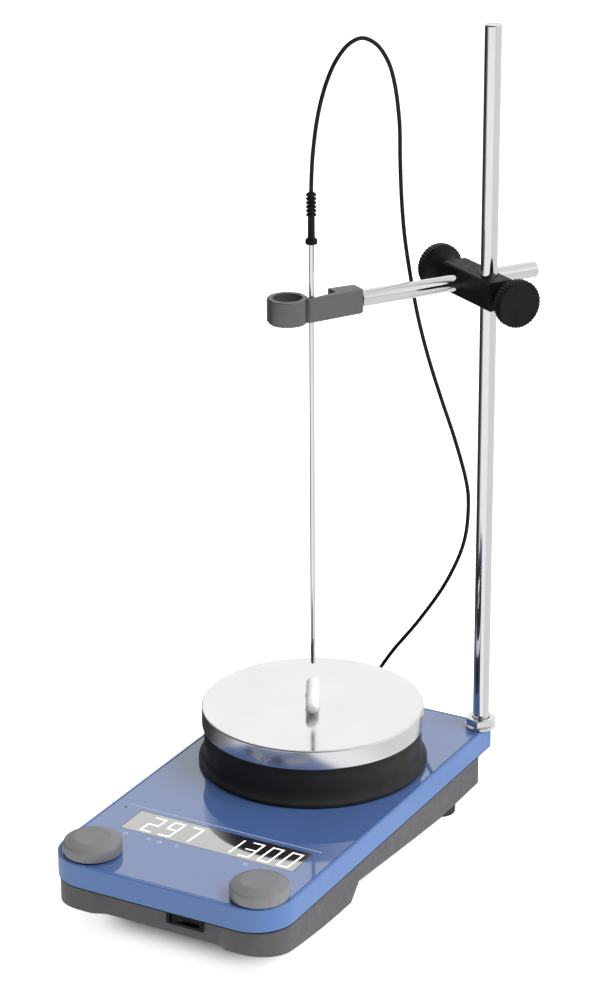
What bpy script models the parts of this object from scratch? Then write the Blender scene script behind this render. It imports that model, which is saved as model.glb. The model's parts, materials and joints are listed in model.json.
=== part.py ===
"""A heating magnetic stirrer with a support rod, a clamp arm and a temperature probe.

Metres, +Z up, front towards -Y. Every piece hangs from the empty "assembly_frame". Heights count from
the surface that the rubber feet stand on, and X and Y from the middle of the blue top cover.
"""

import math

import bmesh
import bpy
from mathutils import Vector

# ---------------------------------------------------------------- driving dimensions

GAP = 0.0003  # clearance between pieces that touch

# The origin is the middle of the whole outline, so the top cover's middle lies off it.
COVER_MIDDLE = (-0.0160, -0.0225)

# Blue top cover and the glossy panel let into it
COVER_HALF_WIDTH = 0.076
COVER_HALF_DEPTH = 0.1405
COVER_FRONT_RADIUS = 0.024
COVER_REAR_RADIUS = 0.003
COVER_BOTTOM = 0.0338
COVER_TOP = 0.0482
COVER_WALL = 0.0065
COVER_ROOF = 0.0452  # underside of the cover's roof
RIM_WIDTH = 0.0020  # blue rim left round the panel
PANEL_BOTTOM = 0.0470
PANEL_GAP = 0.00035

# Grey base shell
BASE_FRONT = -0.1388
BASE_RECESS_FRONT = -0.1345
BASE_RECESS_FLAT = 0.036  # half width of the recess's flat
BASE_RECESS_END = 0.045
BASE_BLOCK_HALF_WIDTH = 0.0746
BASE_BLOCK_END = -0.046
BASE_HALF_WIDTH = 0.0755
BASE_WALL_START = -0.0375
BASE_REAR = 0.124
BASE_FRONT_RADIUS = 0.021
BASE_REAR_RADIUS = 0.003
BASE_TOP = COVER_BOTTOM - GAP
BASE_WALL = 0.0028
BASE_FLOOR = (0.022, 0.024)  # underside and top of the floor between skirt and tub
SHADOW_GAP_INSET = 0.0015
SHADOW_GAP_HEIGHT = 0.0012
TUB_HALF_WIDTH = 0.058
TUB_FRONT = -0.118
TUB_REAR = 0.1239
TUB_BOTTOM = 0.010
TUB_WALL = 0.0025
MOTOR_COLUMN_RADIUS = 0.0032
MOTOR_COLUMN_TOP = 0.0380

# Heating plate, ring housing and drive, all on one axis
PLATE_X = 0.0
PLATE_Y = 0.0445
PLATE_RADIUS = 0.0675
PLATE_BOTTOM = 0.0724
PLATE_TOP = 0.0850
RING_LIP_RADIUS = 0.0698
RING_RADIUS = 0.0663
RING_INNER_RADIUS = 0.062
RING_BOTTOM = COVER_TOP + GAP
DRIVE_OPENING_RADIUS = 0.045
SHAFT_RADIUS = 0.0025
SHAFT_TOP = 0.056
MOTOR_RADIUS = 0.028
MOTOR_SCREW_CIRCLE = 0.032
STANDOFF_CIRCLE = 0.0565

# Control panel, its middle a little right of the cover's
PANEL_MIDDLE_X = 0.0024
KNOB_OFFSET = 0.055
KNOB_Y = -0.1225
KNOB_RADIUS = 0.017
KNOB_BOTTOM = 0.0492
KNOB_SHOULDER = 0.0570
KNOB_TOP = 0.0585
KNOB_TOP_RADIUS = 0.0102
SHAFT_KNOB_RADIUS = 0.0030
MAIN_BOARD = (0.0346, 0.0362)  # underside and top
POWER_BOARD = (0.0160, 0.0176)
WINDOW_HALF_WIDTH = 0.0576
WINDOW_FRONT = -0.0895
WINDOW_REAR = -0.0655

# Rocker switch in the front recess
SWITCH_X = 0.016
SWITCH_Z = 0.0282
SWITCH_HALF_WIDTH = 0.012
SWITCH_HALF_HEIGHT = 0.0048
SWITCH_LEDGE = 0.0012  # width of the frame's lip that rests on the wall
ROCKER_PIVOT_Y = -0.1302
ROCKER_REST_TILT = math.radians(8)

# Connectors in the rear face
INLET_X = 0.020
SOCKET_X = -0.042
CONNECTOR_Z = 0.022
INLET_BODY = (0.0134, 0.0081)  # half width and half height behind the wall
INLET_PIN = (0.0010, 0.0020)
SOCKET_RADIUS = 0.0076
PLUG_NOSE_RADIUS = 0.0058
PLUG_RADIUS = 0.0063

# Feet and cover screws
FRONT_FOOT = (0.045, -0.092)
REAR_FOOT = (0.0585, 0.102)
FOOT_RADIUS = 0.010
FOOT_TOP = 0.0087
FOOT_STEM_RADIUS = 0.0026
FOOT_STEM_TOP = 0.0112
COVER_SCREW_X = 0.0645
COVER_SCREW_FRONT = -0.060
COVER_SCREW_REAR = 0.070

# Support rod, boss head, arm and holder
ROD_X = 0.0714
ROD_Y = 0.1327
ROD_RADIUS = 0.005
ROD_TOP = 0.4913
STUD_RADIUS = 0.003
ARM_ANGLE = math.radians(57.5)
ARM_OFFSET = 0.0226  # distance between the rod's axis and the arm's
ARM_Z = 0.3329
BORE_CLEARANCE = 0.00035
ARM_FAR_END = 0.047
HOLDER_END = -0.075
SPIGOT_RADIUS = 0.0040
RING_D = -0.1220
RING_N = 0.0015

# Probe
PROBE_X = -0.0032
PROBE_Y = 0.0512
PROBE_TIP = 0.1075
PROBE_RADIUS = 0.0015
PROBE_FLANGE_Z = 0.3718
PROBE_BOOT_TOP = 0.4026
CABLE_RADIUS = 0.0012
PLUG_FACE = 0.1264
PLUG_END = 0.150
CABLE_END_Y = 0.1683

STIR_BAR_LENGTH = 0.040
STIR_BAR_RADIUS = 0.0045
STIR_BAR_ANGLE = math.radians(-62)


# ---------------------------------------------------------------- scene and materials


def clear_scene():
    for obj in list(bpy.data.objects):
        bpy.data.objects.remove(obj, do_unlink=True)


def material(name, colour, roughness, metallic=0.0):
    made = bpy.data.materials.new(name)
    made.use_nodes = True
    shader = made.node_tree.nodes["Principled BSDF"]
    shader.inputs["Base Color"].default_value = (*colour, 1.0)
    shader.inputs["Roughness"].default_value = roughness
    shader.inputs["Metallic"].default_value = metallic
    return made


def empty(name, parent=None, location=(0, 0, 0), turn=0.0):
    made = bpy.data.objects.new(name, None)
    made.empty_display_size = 0.02
    made.location = location
    made.rotation_euler = (0, 0, turn)
    made.parent = parent
    bpy.context.collection.objects.link(made)
    return made


def make_object(name, mesh, parent, look, location=(0, 0, 0), rotation=(0, 0, 0)):
    made = bpy.data.objects.new(name, mesh)
    made.location = location
    made.rotation_euler = rotation
    made.parent = parent
    if look:
        mesh.materials.append(look)
    bpy.context.collection.objects.link(made)
    return made


# ---------------------------------------------------------------- outlines and solids


def arc(centre, radius, start, end, steps):
    """Points along an arc, with the angles in degrees."""
    points = []
    for step in range(steps + 1):
        angle = math.radians(start + (end - start) * step / steps)
        points.append((centre[0] + radius * math.cos(angle), centre[1] + radius * math.sin(angle)))
    return points


def rounded_rectangle(left, right, front, rear, front_radius, rear_radius, steps=6):
    """An anticlockwise outline with one radius at the front corners and one at the rear corners."""
    points = arc((right - front_radius, front + front_radius), front_radius, -90, 0, steps)
    points += arc((right - rear_radius, rear - rear_radius), rear_radius, 0, 90, steps)
    points += arc((left + rear_radius, rear - rear_radius), rear_radius, 90, 180, steps)
    points += arc((left + front_radius, front + front_radius), front_radius, 180, 270, steps)
    return points


def cover_outline(inset, steps=10):
    """The cover's outline, moved inwards."""
    return rounded_rectangle(
        -COVER_HALF_WIDTH + inset,
        COVER_HALF_WIDTH - inset,
        -COVER_HALF_DEPTH + inset,
        COVER_HALF_DEPTH - inset,
        COVER_FRONT_RADIUS - inset,
        max(COVER_REAR_RADIUS - inset, 0.0008),
        steps,
    )


def smooth_step(value):
    return value * value * (3 - 2 * value)


def base_outline(inset, front_inset=0.0):
    """The base shell's outline, moved inwards, and further in front of the slanted transitions."""
    front = inset + front_inset
    right = [(BASE_RECESS_FLAT, BASE_RECESS_FRONT + front)]
    for step in range(1, 5):
        share = step / 4
        across = BASE_RECESS_FLAT + (BASE_RECESS_END - BASE_RECESS_FLAT) * share
        forward = (BASE_FRONT - BASE_RECESS_FRONT) * smooth_step(share)
        right.append((across, BASE_RECESS_FRONT + forward + front))
    corner = (BASE_BLOCK_HALF_WIDTH - BASE_FRONT_RADIUS, BASE_FRONT + BASE_FRONT_RADIUS)
    right += arc(corner, BASE_FRONT_RADIUS - front, -90, 0, 9)
    right.append((BASE_BLOCK_HALF_WIDTH - front, BASE_BLOCK_END))
    right.append((BASE_HALF_WIDTH - inset, BASE_WALL_START))
    rear_radius = max(BASE_REAR_RADIUS - inset, 0.0008)
    corner = (BASE_HALF_WIDTH - inset - rear_radius, BASE_REAR - inset - rear_radius)
    right += arc(corner, rear_radius, 0, 90, 3)
    left = [(-x, y) for x, y in reversed(right)]
    return right + left


def rings_to_mesh(name, rings):
    """A closed mesh through rings of points that all run the same way round."""
    mesh = bpy.data.meshes.new(name)
    builder = bmesh.new()
    loops = [[builder.verts.new(point) for point in ring] for ring in rings]
    for low, high in zip(loops, loops[1:]):
        for index in range(len(low)):
            following = (index + 1) % len(low)
            builder.faces.new((low[index], low[following], high[following], high[index]))
    builder.faces.new(list(reversed(loops[0])))
    builder.faces.new(loops[-1])
    builder.to_mesh(mesh)
    builder.free()
    return mesh


def prism(name, parent, look, outline, bottom, top, **place):
    """An upright solid over an anticlockwise outline."""
    rings = [[(x, y, height) for x, y in outline] for height in (bottom, top)]
    return make_object(name, rings_to_mesh(name, rings), parent, look, **place)


def stacked_prism(name, parent, look, levels, **place):
    """An upright solid through (outline, height) levels, from the bottom up."""
    rings = [[(x, y, height) for x, y in outline] for outline, height in levels]
    return make_object(name, rings_to_mesh(name, rings), parent, look, **place)


def box(name, parent, look, low, high, **place):
    outline = [(low[0], low[1]), (high[0], low[1]), (high[0], high[1]), (low[0], high[1])]
    return prism(name, parent, look, outline, low[2], high[2], **place)


def turned(name, parent, look, profile, segments=24, **place):
    """A solid of revolution about Z from an anticlockwise (radius, height) outline."""
    mesh = bpy.data.meshes.new(name)
    builder = bmesh.new()
    rings = []
    for radius, height in profile:
        if radius == 0:
            rings.append([builder.verts.new((0, 0, height))])
            continue
        ring = []
        for segment in range(segments):
            angle = math.tau * segment / segments
            point = (radius * math.cos(angle), radius * math.sin(angle), height)
            ring.append(builder.verts.new(point))
        rings.append(ring)
    for low, high in zip(rings, rings[1:] + rings[:1]):
        for segment in range(segments):
            following = (segment + 1) % segments
            corners = []
            for ring, index in ((low, segment), (low, following), (high, following), (high, segment)):
                corner = ring[index] if len(ring) > 1 else ring[0]
                if corner not in corners:
                    corners.append(corner)
            if len(corners) > 2:
                builder.faces.new(corners)
    builder.to_mesh(mesh)
    builder.free()
    mesh.shade_smooth()
    mesh.set_sharp_from_angle(angle=math.radians(35))
    return make_object(name, mesh, parent, look, **place)


def apply_tool(target, tool, operation):
    modifier = target.modifiers.new(f"{operation.lower()}_{tool.name}", "BOOLEAN")
    modifier.operation = operation
    modifier.solver = "EXACT"
    modifier.object = tool
    tool.hide_render = True
    tool.display_type = "WIRE"


def cut(target, *tools):
    for tool in tools:
        apply_tool(target, tool, "DIFFERENCE")


def join(target, *tools):
    for tool in tools:
        apply_tool(target, tool, "UNION")


def cylinder_profile(radius, bottom, top):
    return [(0, bottom), (radius, bottom), (radius, top), (0, top)]


def tube_profile(inner, outer, bottom, top):
    return [(inner, bottom), (outer, bottom), (outer, top), (inner, top)]


def disc(name, parent, look, radius, bottom, top, segments=24, **place):
    """An upright cylinder with undivided ends, which cuts and is cut cleanly."""
    outline = arc((0, 0), radius, 0, 360 - 360 / segments, segments - 1)
    return prism(name, parent, look, outline, bottom, top, **place)


def bore(name, parent, radius, bottom, top, segments=24, **place):
    """A round cutter."""
    return disc(name, parent, None, radius, bottom, top, segments, **place)


# ---------------------------------------------------------------- looks


def make_looks():
    return {
        "blue": material("cover_blue", (0.115, 0.220, 0.480), 0.35),
        "panel": material("panel_blue", (0.070, 0.120, 0.350), 0.08),
        "grey": material("base_grey", (0.115, 0.115, 0.122), 0.50),
        "knob": material("knob_grey", (0.250, 0.250, 0.260), 0.45),
        "black": material("black_plastic", (0.014, 0.013, 0.013), 0.45),
        "ring": material("ring_black", (0.016, 0.016, 0.016), 0.35),
        "window": material("display_glass", (0.010, 0.010, 0.012), 0.05),
        "display": material("display_face", (0.040, 0.045, 0.050), 0.30),
        "plate": material("plate_alloy", (0.830, 0.840, 0.850), 0.18, 1.0),
        "chrome": material("bright_steel", (0.800, 0.800, 0.810), 0.10, 1.0),
        "steel": material("plain_steel", (0.550, 0.550, 0.560), 0.35, 1.0),
        "holder": material("holder_grey", (0.130, 0.130, 0.135), 0.50),
        "rubber": material("foot_rubber", (0.020, 0.020, 0.020), 0.85),
        "cable": material("cable_jacket", (0.012, 0.012, 0.012), 0.50),
        "board": material("board_green", (0.020, 0.110, 0.050), 0.55),
        "winding": material("copper_winding", (0.550, 0.240, 0.090), 0.40, 0.8),
        "magnet": material("magnet_nickel", (0.420, 0.410, 0.400), 0.30, 1.0),
        "white": material("white_fluoropolymer", (0.850, 0.860, 0.870), 0.30),
        "mica": material("insulation", (0.620, 0.560, 0.440), 0.90),
    }


# ---------------------------------------------------------------- base shell


def underside_cutter(frame):
    """What is taken away below the shell: its lower edge sweeps up from the front blocks to the rear."""
    front_height = 0.0111
    curve = 0.83  # the front blocks' edge rises by this times the squared distance
    rear_height = 0.0145
    side_edge = [(0.067, 0.0140), (0.026, 0.0168), (-0.038, 0.0218)]
    beyond = 0.160
    low = -0.020
    points = [(-beyond, low), (beyond, low), (beyond, rear_height), (BASE_REAR, rear_height)]
    points += side_edge
    steps = 8
    for step in range(steps + 1):
        along = BASE_BLOCK_END + (-0.140 - BASE_BLOCK_END) * step / steps
        points.append((along, front_height + curve * (along - BASE_BLOCK_END) ** 2))
    points.append((-beyond, points[-1][1]))
    rings = [[(side, y, z) for y, z in points] for side in (-0.1, 0.1)]
    return make_object("cut_underside", rings_to_mesh("cut_underside", rings), frame, None)


def base_shell(frame, look):
    floor_bottom, floor_top = BASE_FLOOR
    blank_bottom = 0.008
    above = 0.0450  # cutters that open upwards end here
    levels = [
        (base_outline(0), blank_bottom),
        (base_outline(0), BASE_TOP - SHADOW_GAP_HEIGHT),
        (base_outline(0, SHADOW_GAP_INSET), BASE_TOP),
    ]
    shell = stacked_prism("base_shell", frame, look, levels)
    inner = base_outline(BASE_WALL)
    cut(shell, underside_cutter(frame))
    cut(shell, prism("cut_skirt", frame, None, inner, 0.0, floor_bottom))
    cut(shell, prism("cut_shell", frame, None, base_outline(BASE_WALL + 0.0001), floor_top, above))
    tub = rounded_rectangle(
        -TUB_HALF_WIDTH, TUB_HALF_WIDTH, TUB_FRONT, TUB_REAR, 0.008, 0.004, 4
    )
    join(shell, prism("add_tub", frame, None, tub, TUB_BOTTOM, floor_top + 0.0006))
    foot_boss_radius = 0.0105
    foot_boss_bottom = FOOT_TOP + GAP
    for name, (x, y) in foot_places().items():
        boss = bore(f"add_boss_{name}", frame, foot_boss_radius, foot_boss_bottom, floor_top - 0.0007, 16,
                    location=(x, y, 0))
        join(shell, boss)
    hollow = rounded_rectangle(
        -TUB_HALF_WIDTH + TUB_WALL,
        TUB_HALF_WIDTH - TUB_WALL,
        TUB_FRONT + TUB_WALL,
        TUB_REAR - BASE_WALL - 0.0002,
        0.0055,
        0.0015,
        4,
    )
    cut(shell, prism("cut_tub", frame, None, hollow, TUB_BOTTOM + TUB_WALL, above))
    column_foot = TUB_BOTTOM + TUB_WALL - 0.0007
    thread_radius = 0.0015
    thread_bottom = MOTOR_COLUMN_TOP - 0.0095
    for index, (x, y) in enumerate(motor_screw_places()):
        column = bore(f"add_column_{index}", frame, MOTOR_COLUMN_RADIUS, column_foot, MOTOR_COLUMN_TOP, 10,
                      location=(x, y, 0))
        join(shell, column)
        cut(shell, bore(f"cut_column_{index}", frame, thread_radius, thread_bottom, above, 8,
                        location=(x, y, 0)))
    stem_hole = FOOT_STEM_RADIUS + GAP
    for name, (x, y) in foot_places().items():
        cut(shell, bore(f"cut_stem_{name}", frame, stem_hole, 0.0050, FOOT_STEM_TOP + GAP, 10,
                        location=(x, y, 0)))
    screw_hole = 0.0019
    for name, (x, y) in cover_screw_places().items():
        hole = bore(f"cut_screw_{name}", frame, screw_hole, floor_bottom - 0.002, floor_top + 0.002, 8,
                    location=(x, y, 0))
        cut(shell, hole)
    half_width = SWITCH_HALF_WIDTH - SWITCH_LEDGE
    half_height = SWITCH_HALF_HEIGHT - SWITCH_LEDGE
    switch_hole = box(
        "cut_switch",
        frame,
        None,
        (SWITCH_X - half_width, -0.150, SWITCH_Z - half_height),
        (SWITCH_X + half_width, -0.120, SWITCH_Z + half_height),
    )
    cut(shell, switch_hole)
    inlet_hole = box(
        "cut_inlet",
        frame,
        None,
        (INLET_X - INLET_BODY[0] - 0.0004, 0.110, CONNECTOR_Z - INLET_BODY[1] - 0.0004),
        (INLET_X + INLET_BODY[0] + 0.0004, 0.140, CONNECTOR_Z + INLET_BODY[1] + 0.0004),
    )
    cut(shell, inlet_hole)
    socket_hole = bore(
        "cut_socket",
        frame,
        SOCKET_RADIUS + 0.0004,
        -0.012,
        0.012,
        16,
        location=(SOCKET_X, BASE_REAR, CONNECTOR_Z),
        rotation=(math.radians(-90), 0, 0),
    )
    cut(shell, socket_hole)
    return shell


def foot_places():
    front_x, front_y = FRONT_FOOT
    rear_x, rear_y = REAR_FOOT
    return {
        "front_left": (-front_x, front_y),
        "front_right": (front_x, front_y),
        "rear_left": (-rear_x, rear_y),
        "rear_right": (rear_x, rear_y),
    }


def cover_screw_places():
    return {
        "front_left": (-COVER_SCREW_X, COVER_SCREW_FRONT),
        "front_right": (COVER_SCREW_X, COVER_SCREW_FRONT),
        "rear_left": (-COVER_SCREW_X, COVER_SCREW_REAR),
        "rear_right": (COVER_SCREW_X, COVER_SCREW_REAR),
    }


def circle_places(radius, count, start):
    places = []
    for index in range(count):
        angle = math.radians(start) + math.tau * index / count
        places.append((PLATE_X + radius * math.cos(angle), PLATE_Y + radius * math.sin(angle)))
    return places


def motor_screw_places():
    return circle_places(MOTOR_SCREW_CIRCLE, 3, 30)


def standoff_places():
    return circle_places(STANDOFF_CIRCLE, 3, 90)


def feet(frame, look):
    chamfer = 0.001
    profile = [
        (0, 0),
        (FOOT_RADIUS - chamfer, 0),
        (FOOT_RADIUS, chamfer),
        (FOOT_RADIUS, FOOT_TOP),
        (FOOT_STEM_RADIUS, FOOT_TOP),
        (FOOT_STEM_RADIUS, FOOT_STEM_TOP),
        (0, FOOT_STEM_TOP),
    ]
    for name, (x, y) in foot_places().items():
        turned(f"foot_{name}", frame, look, profile, 16, location=(x, y, 0))


def screw_profile(head_radius, head_height, shank_radius, shank_length):
    """A pan-head screw standing on its head's top, shank upwards."""
    return [
        (0, 0),
        (head_radius * 0.7, 0),
        (head_radius, head_height * 0.5),
        (head_radius, head_height),
        (shank_radius, head_height),
        (shank_radius, head_height + shank_length),
        (0, head_height + shank_length),
    ]


def cover_screws(frame, look):
    head_height = 0.0023
    bottom = BASE_FLOOR[0] - GAP - head_height
    profile = screw_profile(0.0032, head_height, 0.0014, 0.013)
    for name, (x, y) in cover_screw_places().items():
        turned(f"cover_screw_{name}", frame, look, profile, 8, location=(x, y, bottom))


# ---------------------------------------------------------------- cover and panel


def cover_openings(frame, name, drive_radius, window_side, window_y, shaft_radius):
    """Cutters for the drive opening, the display window and both knob shafts."""
    tools = [
        bore(f"{name}_drive", frame, drive_radius, 0.040, 0.060, 28, location=(PLATE_X, PLATE_Y, 0)),
        box(
            f"{name}_window",
            frame,
            None,
            (PANEL_MIDDLE_X - window_side, window_y[0], 0.040),
            (PANEL_MIDDLE_X + window_side, window_y[1], 0.060),
        ),
    ]
    for side in (-1, 1):
        place = (PANEL_MIDDLE_X + side * KNOB_OFFSET, KNOB_Y, 0)
        tools.append(bore(f"{name}_shaft_{side + 1}", frame, shaft_radius, 0.040, 0.060, 14, location=place))
    return tools


def top_cover(frame, look):
    chamfer = 0.0006
    levels = [
        (cover_outline(0), COVER_BOTTOM),
        (cover_outline(0), COVER_TOP - chamfer),
        (cover_outline(chamfer), COVER_TOP),
    ]
    cover = stacked_prism("top_cover", frame, look, levels)
    cavity = rounded_rectangle(
        -COVER_HALF_WIDTH + COVER_WALL,
        COVER_HALF_WIDTH - COVER_WALL,
        -0.131,
        0.117,
        COVER_FRONT_RADIUS - COVER_WALL,
        0.003,
    )
    cut(cover, prism("cut_cavity", frame, None, cavity, 0.030, COVER_ROOF))
    recess = cover_outline(RIM_WIDTH)
    cut(cover, prism("cut_recess", frame, None, recess, PANEL_BOTTOM - GAP, 0.060))
    ledge = 0.0021
    window_y = (WINDOW_FRONT + ledge, WINDOW_REAR - ledge)
    cut(cover, *cover_openings(frame, "cut_cover", DRIVE_OPENING_RADIUS, WINDOW_HALF_WIDTH - ledge,
                               window_y, 0.0046))
    for name, (x, y) in cover_screw_places().items():
        column = bore(f"add_pillar_{name}", frame, 0.004, BASE_FLOOR[1] + GAP, 0.0459, 12,
                      location=(x, y, 0))
        join(cover, column)
        cut(cover, bore(f"cut_pillar_{name}", frame, 0.0017, 0.020, 0.0380, 8, location=(x, y, 0)))
    stud_hole = bore("cut_stud", frame, STUD_RADIUS + GAP, 0.030, 0.060, 14, location=(ROD_X, ROD_Y, 0))
    cut(cover, stud_hole)
    return cover


def top_panel(frame, look):
    outline = cover_outline(RIM_WIDTH + PANEL_GAP)
    panel = prism("top_panel", frame, look, outline, PANEL_BOTTOM, COVER_TOP)
    window_y = (WINDOW_FRONT, WINDOW_REAR)
    cut(panel, *cover_openings(frame, "cut_panel", DRIVE_OPENING_RADIUS + 0.001, WINDOW_HALF_WIDTH,
                               window_y, 0.0050))
    notch = bore("cut_notch", frame, STUD_RADIUS + 2 * GAP, 0.030, 0.060, 14, location=(ROD_X, ROD_Y, 0))
    cut(panel, notch)
    return panel


def display(frame, looks):
    half = WINDOW_HALF_WIDTH - GAP
    low = (PANEL_MIDDLE_X - half, WINDOW_FRONT + GAP, PANEL_BOTTOM)
    high = (PANEL_MIDDLE_X + half, WINDOW_REAR - GAP, COVER_TOP)
    box("display_window", frame, looks["window"], low, high)
    half = WINDOW_HALF_WIDTH - 0.0028
    low = (PANEL_MIDDLE_X - half, WINDOW_FRONT + 0.0028, 0.0405)
    high = (PANEL_MIDDLE_X + half, WINDOW_REAR - 0.0028, PANEL_BOTTOM - GAP)
    box("display_module", frame, looks["display"], low, high)


# ---------------------------------------------------------------- controls


def knob_profile():
    """Hollow from below, with a hub that grips the shaft. Heights from the knob's lower edge."""
    shoulder = KNOB_SHOULDER - KNOB_BOTTOM
    top = KNOB_TOP - KNOB_BOTTOM
    wall = 0.0018
    hub_radius = 0.0052
    hub_bottom = 0.0004
    ceiling = 0.0058
    bore_radius = SHAFT_KNOB_RADIUS + GAP
    bore_top = 0.0068
    return [
        (KNOB_RADIUS - wall, 0),
        (KNOB_RADIUS, 0),
        (KNOB_RADIUS, shoulder),
        (KNOB_TOP_RADIUS, top),
        (0, top),
        (0, bore_top),
        (bore_radius, bore_top),
        (bore_radius, hub_bottom),
        (hub_radius, hub_bottom),
        (hub_radius, ceiling),
        (KNOB_RADIUS - wall, ceiling),
    ]


def controls(frame, looks):
    body_radius = 0.0055
    body_top = 0.0434
    bush_radius = 0.0042
    bush_top = 0.0480
    bush_bore = SHAFT_KNOB_RADIUS + 0.0004
    floor = 0.0374
    encoder = [
        (0, MAIN_BOARD[1] + GAP),
        (body_radius, MAIN_BOARD[1] + GAP),
        (body_radius, body_top),
        (bush_radius, body_top),
        (bush_radius, bush_top),
        (bush_bore, bush_top),
        (bush_bore, floor),
        (0, floor),
    ]
    plunger_bottom = floor + 0.0010
    shaft_bottom = 0.0398
    shaft_top = 0.0557
    plunger = cylinder_profile(0.0028, 0.0, 0.0010)
    shaft = cylinder_profile(SHAFT_KNOB_RADIUS, shaft_bottom - KNOB_BOTTOM, shaft_top - KNOB_BOTTOM)
    for side, name in ((-1, "left"), (1, "right")):
        x = PANEL_MIDDLE_X + side * KNOB_OFFSET
        turned(f"{name}_encoder", frame, looks["steel"], encoder, 12, location=(x, KNOB_Y, 0))
        push = empty(f"{name}_push_axis", frame, (x, KNOB_Y, KNOB_BOTTOM))
        place = (0, 0, plunger_bottom - KNOB_BOTTOM)
        turned(f"{name}_plunger", push, looks["white"], plunger, 12, location=place)
        turned(f"{name}_shaft", push, looks["steel"], shaft, 12)
        turned(f"{name}_knob", push, looks["knob"], knob_profile(), 24)


def switch(frame, looks):
    back = -0.1215
    bezel_back = BASE_RECESS_FRONT - GAP
    face = bezel_back - 0.0012
    low = (SWITCH_X - SWITCH_HALF_WIDTH, face, SWITCH_Z - SWITCH_HALF_HEIGHT)
    high = (SWITCH_X + SWITCH_HALF_WIDTH, bezel_back, SWITCH_Z + SWITCH_HALF_HEIGHT)
    housing = box("switch_frame", frame, looks["black"], low, high)
    side = SWITCH_HALF_WIDTH - SWITCH_LEDGE - GAP
    rise = SWITCH_HALF_HEIGHT - SWITCH_LEDGE - GAP
    low = (SWITCH_X - side, bezel_back - 0.0005, SWITCH_Z - rise)
    high = (SWITCH_X + side, back, SWITCH_Z + rise)
    join(housing, box("add_switch_body", frame, None, low, high))
    opening = (side - 0.0008, rise - 0.0006)
    low = (SWITCH_X - opening[0], face - 0.002, SWITCH_Z - opening[1])
    high = (SWITCH_X + opening[0], back - 0.0012, SWITCH_Z + opening[1])
    cut(housing, box("cut_switch_well", frame, None, low, high))

    pivot = empty("switch_pivot", frame, (SWITCH_X, ROCKER_PIVOT_Y, SWITCH_Z))
    half = opening[0] - 0.0010
    outline = [
        (-half, -0.0052),
        (0, -0.0036),
        (half, -0.0052),
        (half - 0.0012, 0.0004),
        (0.0022, 0.0030),
        (-0.0022, 0.0030),
        (-half + 0.0012, 0.0004),
    ]
    rise = opening[1] - GAP
    tilt = (0, 0, ROCKER_REST_TILT)
    prism("switch_rocker", pivot, looks["black"], outline, -rise, rise, rotation=tilt)


def boards(frame, look):
    outline = rounded_rectangle(-0.0683, 0.0683, -0.1298, -0.066, 0.0163, 0.002, 5)
    prism("main_board", frame, look, outline, *MAIN_BOARD)
    board = rounded_rectangle(-0.050, 0.050, -0.108, 0.008, 0.002, 0.002, 2)
    power = prism("power_board", frame, look, board, *POWER_BOARD)
    root = POWER_BOARD[1] - 0.0006  # the parts on the board start just inside it
    blocks = (
        ("add_transformer", (-0.040, -0.085), (-0.008, -0.055), 0.0310),
        ("add_heat_sink", (0.010, -0.095), (0.040, -0.083), 0.0300),
        ("add_relay", (0.012, -0.050), (0.034, -0.034), 0.0290),
        ("add_terminals", (-0.045, -0.010), (0.005, 0.002), 0.0260),
    )
    for name, low, high, top in blocks:
        join(power, box(name, frame, None, (*low, root), (*high, top)))
    capacitor = bore("add_capacitor", frame, 0.008, root, 0.0320, 12, location=(-0.022, -0.036, 0))
    join(power, capacitor)


# ---------------------------------------------------------------- drive and heating plate


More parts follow.
